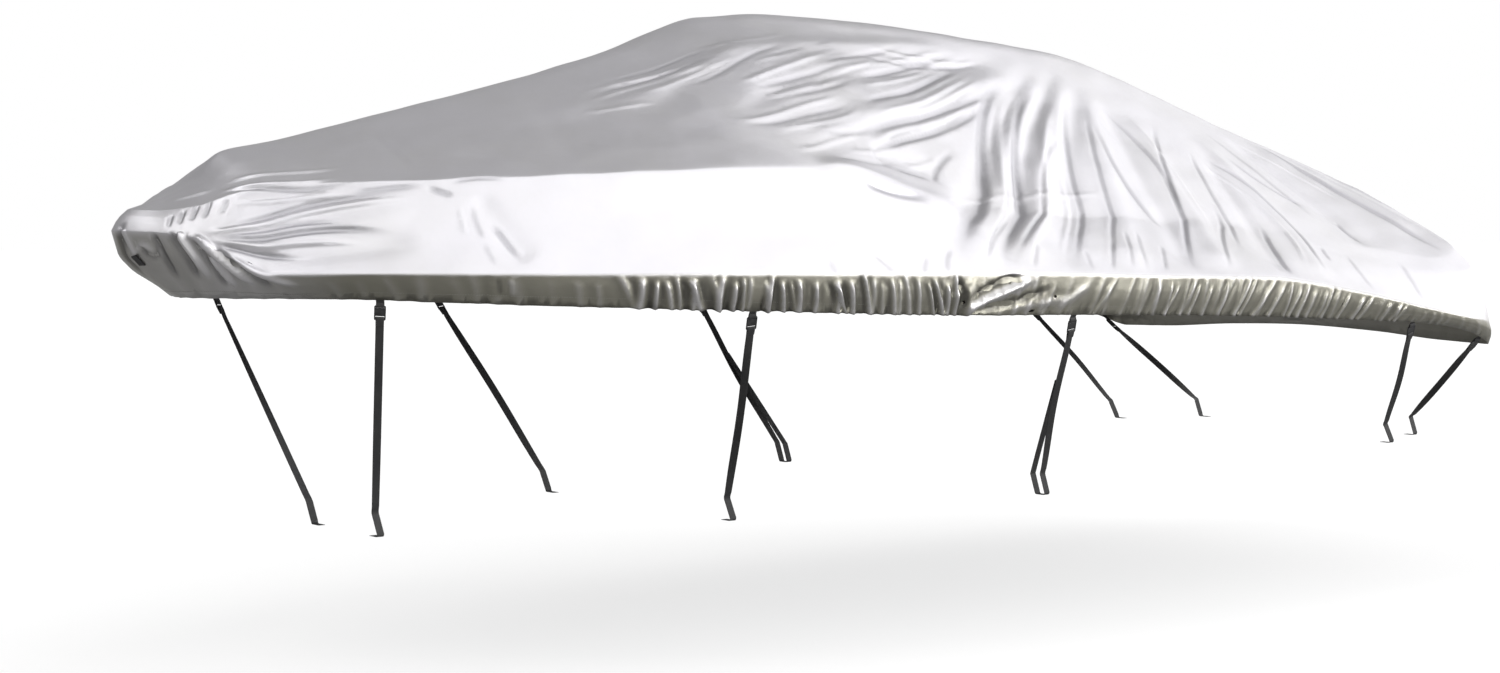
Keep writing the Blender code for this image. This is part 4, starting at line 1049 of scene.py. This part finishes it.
def leg_path(row, side, anchor, axes):
    """The leg's places: a short end in front of the lower bar, over it, then down to its foot and,
    where it has a returning end, back up beside itself. With each, how far down the leg it is."""
    middle, _, pull, out = axes
    start = middle + pull * BUCKLE[1] / 2
    lip = start - pull * LOWER_BAR + out * LIP_OUT
    anchor_top = anchor + UP * ANCHOR_DEPTH
    inboard = np.array([0.0, -side, 0.0])
    lean = AFT * pull[0] / -pull[2] * ANCHOR_DEPTH
    corner = anchor + lean
    far = corner + inboard * FOOT_LENGTH

    def hang(q):
        return start + (anchor_top - start) * q + AFT * row["sway"] * math.sin(math.pi * q) ** 2

    leg = [spots(lip, LEG_LOOP, pull, out), [hang(q) for q in LEG_SHARES],
           spots(corner, FOOT_TURN, inboard, UP)]
    if row["tail"]:
        height = row["tail"] - SUPPORT_HEIGHT
        meeting = hang((start[2] - height) / (start[2] - anchor_top[2]))
        leg += [spots(far, FOOT_TURN[::-1], -inboard, UP),
                [far - lean + UP * ANCHOR_DEPTH, meeting + inboard * TAIL_GAP]]
    else:
        leg.append([far])
    leg = np.concatenate(leg)
    turn = np.ones(len(leg))
    turn[:len(LEG_LOOP)] = 0.0
    turn[len(LEG_LOOP):len(LEG_LOOP) + len(LEG_SHARES)] = LEG_SHARES
    return leg, turn


def make_leg(name, row, side, anchor, axes):
    """The strap from its buckle to its foot, twisted most half way down."""
    _, level, pull, _ = axes
    controls, turn = leg_path(row, side, anchor, axes)
    path = smooth_path(controls, LEG_STEP)
    reached = np.linalg.norm(path[None] - controls[:, None], axis=2).argmin(axis=1)
    reached = np.maximum.accumulate(reached)
    q = np.interp(np.arange(len(path)), reached, turn)[:, None]
    angle = math.radians(row["twist"]) * np.sin(math.pi * q)
    flat = unit(level * (1 - q) + AFT * q)
    across = flat * np.cos(angle) + np.cross(pull, flat) * np.sin(angle)
    strap = ribbon("strap_piece_" + name, path, across)
    finish_piece(strap, "webbing", "strap_" + name)
    return strap


def make_strap(station, side, shape):
    """The buckle, the hem tab and the webbing of one station, where their CAD nodes are."""
    row = dict(zip(STRAP_COLUMNS, STRAPS[station]))
    name = f"{'port' if side < 0 else 'starboard'}_{station + 1}"
    anchor = np.array([row["anchor_x"], side * row["anchor_y"], row["foot_z"] - SUPPORT_HEIGHT])
    axes = buckle_axes(name, anchor + UP * ANCHOR_DEPTH, side)
    return [make_buckle(name, shape, axes), make_tab(name, row["hem_x"], side, axes),
            make_leg(name, row, side, anchor, axes)]


LOOP_AT = (0.043, 0.920)    # along the edge and down the section, where the bow's loop is sewn
LOOP_WIDTH, LOOP_THICKNESS = 0.025, 0.0012
LOOP_SPAN, LOOP_GAP = 0.021, 0.0011         # half its length, and half the way between its layers
# Its way down one layer, round the fold and up the other: down from its middle, and out.
LOOP_PATH = ((-LOOP_SPAN, -LOOP_GAP), (0.0, -LOOP_GAP), (LOOP_SPAN * 0.8, -LOOP_GAP),
             (LOOP_SPAN + 0.001, 0.0), (LOOP_SPAN * 0.8, LOOP_GAP), (0.0, LOOP_GAP),
             (-LOOP_SPAN, LOOP_GAP))


def make_bow_loop():
    """The loop at the bow: webbing folded on itself, its fold hanging clear at the bottom."""
    along, share = LOOP_AT
    spot, fore, aft, above, below = cloth_surface(along + np.array([0.0, -0.01, 0.01, 0.0, 0.0]),
                                                  share + np.array([0.0, 0.0, 0.0, -0.012, 0.012]),
                                                  np.full(5, -1.0))
    run, down = unit(aft - fore), unit(below - above)
    out = unit(np.cross(run, down))
    out *= -np.sign(out[0])
    path = smooth_path(spots(spot + out * 2 * LOOP_GAP, LOOP_PATH, down, out), LOOP_STEP)
    loop = ribbon("bow_loop_piece", path, np.tile(run, (len(path), 1)), LOOP_WIDTH, LOOP_THICKNESS)
    finish_piece(loop, "webbing", "bow_loop")
    return loop


# ================================================================ stitching
STITCH_PITCH, STITCH_LENGTH, STITCH_HEIGHT, STITCH_WIDTH = 0.0085, 0.0058, 0.0007, 0.0011
STITCH_SWELL = (0.35, 1.0, 1.0, 0.35)       # how full a stitch is at each of its rings
STITCH_CORNERS = ((-1, 0.0), (0, 1.0), (1, 0.0), (0, -0.4))     # of a ring: sideways, and up
HEM_FOLD = 0.030            # the hem's row of stitches stands this far above its lower edge


def make_stitches():
    """The row of stitches above the hem's lower edge: low ridges of thread with four sides, each
    laid along the cloth, their points all worked out at once."""
    count = int(EDGE_LENGTH / STITCH_PITCH)
    places = (np.arange(count) + 0.5) * EDGE_LENGTH / count
    along = np.concatenate([places, places])
    side = np.repeat([-1.0, 1.0], count)
    fine = np.linspace(0.0, EDGE_LENGTH, 200)
    band = np.linalg.norm(cloth_place(fine, HEM, -1.0) - cloth_place(fine, EDGE, -1.0), axis=1)
    down = HEM - (HEM - EDGE) * HEM_FOLD / np.interp(along, fine, band)
    rings, corners = len(STITCH_SWELL), len(STITCH_CORNERS)
    reach = STITCH_LENGTH / 2 * np.linspace(-1.0, 1.0, rings)
    fore = cloth_surface(np.clip(along - STITCH_LENGTH / 2, 0, EDGE_LENGTH), down, side)
    aft = cloth_surface(np.clip(along + STITCH_LENGTH / 2, 0, EDGE_LENGTH), down, side)
    normal = cloth_normal(along, down, side)
    run = unit(aft - fore)
    sideways = np.cross(normal, run)
    centre = cloth_surface(along, down, side)
    points = np.stack([centre + run * shift + sideways * s * wide * STITCH_WIDTH / 2
                       + normal * (h * wide * STITCH_HEIGHT)
                       for shift, wide in zip(reach, STITCH_SWELL) for s, h in STITCH_CORNERS], axis=1)
    ring = np.arange(corners)
    after = (ring + 1) % corners
    round_it = np.stack([ring, after, after + corners, ring + corners], axis=1)
    one = np.concatenate([round_it + corners * r for r in range(rings - 1)]
                         + [[ring[::-1]], [ring + corners * (rings - 1)]])
    faces = (np.arange(len(points))[:, None, None] * rings * corners + one[None]).reshape(-1, corners)
    stitches = make_object("hem_stitches", points.reshape(-1, 3), faces.tolist())
    fix_normals(stitches)
    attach(stitches, "root")
    return stitches


# ================================================================ materials
def new_group(name, inputs, outputs):
    """An empty shader group with its sockets: name, kind and starting value of each."""
    tree = bpy.data.node_groups.new(name, "ShaderNodeTree")
    for label, kind, value in inputs:
        socket = tree.interface.new_socket(label, in_out="INPUT", socket_type=kind)
        if value is not None:
            socket.default_value = value
    for label, kind in outputs:
        tree.interface.new_socket(label, in_out="OUTPUT", socket_type=kind)
    return tree, tree.nodes.new("NodeGroupInput"), tree.nodes.new("NodeGroupOutput")


def add(tree, kind, settings=(), **values):
    """A node with its settings, and its inputs given by socket name, by number or by a link."""
    node = tree.nodes.new(kind)
    for key, value in dict(settings).items():
        setattr(node, key, value)
    for key, value in values.items():
        by_number = key[0] == "i" and key[1:].isdigit()
        put(tree, node.inputs[int(key[1:]) if by_number else key.replace("_", " ").title()], value)
    return node


def put(tree, socket, value):
    """Gives a socket its value: a link where the value is another node's output."""
    if isinstance(value, bpy.types.NodeSocket):
        tree.links.new(value, socket)
    else:
        socket.default_value = value


def math_node(tree, operation, *values):
    """The result of one step of arithmetic."""
    return add(tree, "ShaderNodeMath", {"operation": operation},
               **{f"i{k}": value for k, value in enumerate(values)}).outputs[0]


def weave_group():
    """Plain weave: two crossed sine waves of one pitch, each thread over and under the next."""
    tree, given, out = new_group("weave", [("Place", "NodeSocketVector", None),
                                           ("Pitch", "NodeSocketFloat", 0.001)],
                                 [("Height", "NodeSocketFloat")])
    parts = add(tree, "ShaderNodeSeparateXYZ", i0=given.outputs["Place"])
    waves = []
    for axis in (0, 1):
        turns = math_node(tree, "DIVIDE", parts.outputs[axis], given.outputs["Pitch"])
        waves.append(math_node(tree, "SINE", math_node(tree, "MULTIPLY", turns, 2 * math.pi)))
    product = math_node(tree, "MULTIPLY", *waves)
    tree.links.new(math_node(tree, "MULTIPLY_ADD", product, 0.5, 0.5), out.inputs["Height"])
    return tree


FINER = 14.0                # how many times finer the dust's second noise is


def dust_group():
    """Dust that settled unevenly: broad noise broken up by finer noise, as a mask from 0 to 1."""
    tree, given, out = new_group("dust", [("Place", "NodeSocketVector", None),
                                          ("Scale", "NodeSocketFloat", 2.0)],
                                 [("Mask", "NodeSocketFloat"), ("Fine", "NodeSocketFloat")])
    broad = add(tree, "ShaderNodeTexNoise", {}, Vector=given.outputs["Place"],
                Scale=given.outputs["Scale"], Detail=6.0, Roughness=0.6)
    finer = math_node(tree, "MULTIPLY", given.outputs["Scale"], FINER)
    fine = add(tree, "ShaderNodeTexNoise", {}, Vector=given.outputs["Place"], Scale=finer, Detail=3.0)
    mask = add(tree, "ShaderNodeMapRange", {}, Value=broad.outputs[0], i1=0.42, i2=0.68)
    tree.links.new(mask.outputs[0], out.inputs["Mask"])
    tree.links.new(fine.outputs[0], out.inputs["Fine"])
    return tree


def new_material(name, **same_all_over):
    """A material, its nodes and its shader, with the values that don't change over the surface."""
    material = bpy.data.materials.new(name)
    material.use_nodes = True
    tree = material.node_tree
    shader = tree.nodes["Principled BSDF"]
    for key, value in same_all_over.items():
        shader.inputs[key.replace("_", " ")].default_value = value
    return material, tree, shader


def use_group(tree, group, **values):
    """A shared effect, placed in a material with its own values."""
    node = tree.nodes.new("ShaderNodeGroup")
    node.node_tree = group
    for key, value in values.items():
        put(tree, node.inputs[key], value)
    return node


def mix_colour(tree, factor, first, second, blend="MIX"):
    """Two colours mixed by a factor from 0 to 1. The Mix node's colour sockets are 6 and 7."""
    settings = {"data_type": "RGBA", "blend_type": blend}
    return add(tree, "ShaderNodeMix", settings, i0=factor, i6=first, i7=second).outputs[2]


SILVER = (0.625, 0.615, 0.645, 1.0)
DUSTED = (0.565, 0.557, 0.560, 1.0)
# painted shade: the hem band and the bow's front are darkened towards this, where they face down and away
# from the light
PAINTED_HEM_SHADE = (0.230, 0.222, 0.185, 1.0)
CREASE_SHADE_COLOUR = (0.400, 0.400, 0.420, 1.0)      # painted shade: the cloth's colour is multiplied by this in a crease
CLOTH_METALLIC = 0.80       # the silver coat
WEBBING_BLACK, WEBBING_DUSTED, WEBBING_RIB = ((0.011, 0.011, 0.012, 1.0), (0.026, 0.025, 0.024, 1.0),
                                              (0.045, 0.045, 0.047, 1.0))
PLASTIC_BLACK, PLASTIC_SCUFFED = (0.012, 0.012, 0.013, 1.0), (0.030, 0.030, 0.031, 1.0)
THREAD_GREY, THREAD_DUSTED = (0.24, 0.24, 0.22, 1.0), (0.17, 0.17, 0.15, 1.0)
CLOTH_PITCH, WEBBING_PITCH = 0.0016, 0.0026             # of the threads and of the ribs


def cloth_material(weave, dust):
    """Silver-grey coated polyester: a tight weave, a satin coat, some dust, painted shade in creases and
    on the hem band.
    """
    material, tree, shader = new_material("coated_polyester", Metallic=CLOTH_METALLIC)
    place = tree.nodes.new("ShaderNodeTexCoord").outputs["Object"]
    cut = add(tree, "ShaderNodeUVMap", {"uv_map": "cut"}).outputs[0]
    threads = use_group(tree, weave, Place=cut, Pitch=CLOTH_PITCH)
    dusty = use_group(tree, dust, Place=place, Scale=2.3)
    # masks of painted shade: on the hem band and the bow's front, and in creases
    band = add(tree, "ShaderNodeAttribute", {"attribute_name": "band"}).outputs["Fac"]
    crease_shade = add(tree, "ShaderNodeAttribute", {"attribute_name": "crease_shade"}).outputs["Fac"]
    colour = mix_colour(tree, math_node(tree, "MULTIPLY", dusty.outputs["Mask"], 0.5), SILVER, DUSTED)
    # painted shade on the hem band and the bow's front
    colour = mix_colour(tree, band, colour, PAINTED_HEM_SHADE)
    # painted shade in creases, stronger on the hem band
    depth = math_node(tree, "MULTIPLY", crease_shade, math_node(tree, "MULTIPLY_ADD", band, 0.4, 0.5))
    colour = mix_colour(tree, depth, colour, CREASE_SHADE_COLOUR, "MULTIPLY")
    tree.links.new(colour, shader.inputs["Base Color"])
    rough = math_node(tree, "MULTIPLY_ADD", dusty.outputs["Fine"], 0.12, 0.28)
    tree.links.new(rough, shader.inputs["Roughness"])
    bump = add(tree, "ShaderNodeBump", {}, Strength=0.35, Distance=0.0003,
               Height=threads.outputs["Height"])
    ripple = add(tree, "ShaderNodeBump", {}, Strength=0.5, Distance=0.0012,
                 Height=dusty.outputs["Fine"], Normal=bump.outputs[0])
    tree.links.new(ripple.outputs[0], shader.inputs["Normal"])
    return material


def webbing_material(weave, dust):
    """Black polypropylene webbing: ribs across it, with a dull sheen."""
    material, tree, shader = new_material("black_webbing", Roughness=0.62)
    cut = add(tree, "ShaderNodeUVMap", {"uv_map": "cut"}).outputs[0]
    place = tree.nodes.new("ShaderNodeTexCoord").outputs["Object"]
    threads = use_group(tree, weave, Place=cut, Pitch=WEBBING_PITCH)
    dusty = use_group(tree, dust, Place=place, Scale=9.0)
    colour = mix_colour(tree, dusty.outputs["Mask"], WEBBING_BLACK, WEBBING_DUSTED)
    raised = math_node(tree, "MULTIPLY", threads.outputs["Height"], 0.4)
    colour = mix_colour(tree, raised, colour, WEBBING_RIB)
    tree.links.new(colour, shader.inputs["Base Color"])
    bump = add(tree, "ShaderNodeBump", {}, Strength=0.8, Distance=0.0005,
               Height=threads.outputs["Height"])
    tree.links.new(bump.outputs[0], shader.inputs["Normal"])
    return material


def buckle_material(dust):
    """Black moulded acetal with a fine grain, scuffed a little lighter."""
    material, tree, shader = new_material("moulded_plastic")
    place = tree.nodes.new("ShaderNodeTexCoord").outputs["Object"]
    dusty = use_group(tree, dust, Place=place, Scale=60.0)
    colour = mix_colour(tree, dusty.outputs["Mask"], PLASTIC_BLACK, PLASTIC_SCUFFED)
    tree.links.new(colour, shader.inputs["Base Color"])
    rough = math_node(tree, "MULTIPLY_ADD", dusty.outputs["Mask"], 0.16, 0.36)
    tree.links.new(rough, shader.inputs["Roughness"])
    bump = add(tree, "ShaderNodeBump", {}, Strength=0.3, Distance=0.0002, Height=dusty.outputs["Fine"])
    tree.links.new(bump.outputs[0], shader.inputs["Normal"])
    return material


def thread_material(dust):
    """Pale grey sewing thread, a little duller than the cloth."""
    material, tree, shader = new_material("sewing_thread", Roughness=0.6)
    place = tree.nodes.new("ShaderNodeTexCoord").outputs["Object"]
    dusty = use_group(tree, dust, Place=place, Scale=3.0)
    colour = mix_colour(tree, dusty.outputs["Mask"], THREAD_GREY, THREAD_DUSTED)
    tree.links.new(colour, shader.inputs["Base Color"])
    return material


MATERIALS = {}


def finish_piece(piece, slot, node):
    """Gives a piece the material of its slot and its body, and hides the CAD node that it stands for."""
    piece.data.materials.append(MATERIALS[slot])
    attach(piece, "root")
    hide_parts(node)


# ================================================================ camera, floor and light
CAMERA_HEIGHT = 1.5
CAMERA_AT = (-7.51, -7.80, CAMERA_HEIGHT - SUPPORT_HEIGHT)
CAMERA_LOOKS = (0.609, 0.793, 0.0)
LENS, SENSOR = 64.8, 36.0
SHIFT_UP = -0.0953
FLOOR_REACH = 60.0
FLOOR_GREY, FLOOR_GLOW = 0.35, 0.62         # its colour, and how pale the camera sees it besides


def make_camera():
    """A level camera with a long lens, off the port bow, 1.5 m above the ground."""
    lens = bpy.data.cameras.new("camera")
    lens.lens, lens.sensor_width, lens.shift_y = LENS, SENSOR, SHIFT_UP
    lens.sensor_fit = "HORIZONTAL"
    lens.clip_end = 200.0
    camera = bpy.data.objects.new("camera", lens)
    camera.location = CAMERA_AT
    camera.rotation_euler = Vector(CAMERA_LOOKS).to_track_quat("-Z", "Y").to_euler()
    bpy.context.scene.collection.objects.link(camera)
    bpy.context.scene.camera = camera


def make_floor():
    """A wide pale floor at the ground."""
    mesh = bpy.data.meshes.new("floor")
    corners = ((-1, -1), (1, -1), (1, 1), (-1, 1))
    mesh.from_pydata([(x * FLOOR_REACH, y * FLOOR_REACH, -SUPPORT_HEIGHT) for x, y in corners],
                     [], [(0, 1, 2, 3)])
    floor = bpy.data.objects.new("floor", mesh)
    bpy.context.scene.collection.objects.link(floor)
    material, tree, shader = new_material("pale_floor", Base_Color=(FLOOR_GREY,) * 3 + (1.0,),
                                          Roughness=0.9, Emission_Color=(1.0, 1.0, 1.0, 1.0))
    seen = tree.nodes.new("ShaderNodeLightPath").outputs["Is Camera Ray"]
    tree.links.new(math_node(tree, "MULTIPLY", seen, FLOOR_GLOW), shader.inputs["Emission Strength"])
    mesh.materials.append(material)


# Soft white lamps, far off: where each comes from, its strength and how many degrees wide it looks.
LAMPS = (
    ("key_lamp", (0.60, -0.79, 0.20), 1.7, 14),
    ("stern_lamp", (0.92, 0.30, 0.25), 0.30, 40),
    ("bow_lamp", (-0.50, 0.18, 0.85), 0.70, 30),
)
# The surround is dull on one side and bright on the other, with a soft edge between them: the
# way that it brightens in, where along it the edge lies, and the two brightnesses.
BRIGHT_WAY = (0.42, -0.82, 0.30)
BRIGHT_EDGE = (0.20, 0.42)
SURROUND = (0.35, 1.60)


def make_light():
    """A white surround that lights unevenly, and three small soft lamps."""
    for name, source, strength, width in LAMPS:
        light = bpy.data.lights.new(name, "SUN")
        light.energy, light.angle = strength, math.radians(width)
        lamp = bpy.data.objects.new(name, light)
        lamp.rotation_euler = (-Vector(source)).to_track_quat("-Z", "Y").to_euler()
        bpy.context.scene.collection.objects.link(lamp)
    world = bpy.data.worlds.new("surround")
    bpy.context.scene.world = world
    world.use_nodes = True
    tree = world.node_tree
    tree.nodes.clear()
    place = tree.nodes.new("ShaderNodeTexCoord").outputs["Generated"]
    facing = add(tree, "ShaderNodeVectorMath", {"operation": "DOT_PRODUCT"}, i0=place, i1=BRIGHT_WAY)
    light = add(tree, "ShaderNodeMapRange", {"interpolation_type": "SMOOTHSTEP"},
                i0=facing.outputs["Value"], i1=BRIGHT_EDGE[0], i2=BRIGHT_EDGE[1],
                i3=SURROUND[0], i4=SURROUND[1]).outputs[0]
    seen = tree.nodes.new("ShaderNodeLightPath").outputs["Is Camera Ray"]
    strength = math_node(tree, "MULTIPLY_ADD", seen, math_node(tree, "SUBTRACT", 1.0, light), light)
    sky = add(tree, "ShaderNodeBackground", {}, Color=(1.0, 1.0, 1.0, 1.0), Strength=strength)
    out = tree.nodes.new("ShaderNodeOutputWorld")
    tree.links.new(sky.outputs[0], out.inputs["Surface"])
    view = bpy.context.scene.view_settings
    view.view_transform = "Standard"
    view.look = "None"


def main():
    """The whole scene: the stage first, then the cloth and all that is sewn to it or hangs from it."""
    make_camera()
    make_floor()
    make_light()
    weave, dust = weave_group(), dust_group()
    MATERIALS["cloth"] = cloth_material(weave, dust)
    MATERIALS["webbing"] = webbing_material(weave, dust)
    MATERIALS["buckle"] = buckle_material(dust)
    cloth = make_cloth()
    finish_piece(cloth, "cloth", "cover")
    shape = buckle_shape()
    on_cloth = [make_bow_loop()]
    for station in range(len(STRAPS)):
        for side in (-1, 1):
            on_cloth += make_strap(station, side, shape)
    stitches = make_stitches()
    stitches.data.materials.append(thread_material(dust))
    on_cloth.append(stitches)


main()
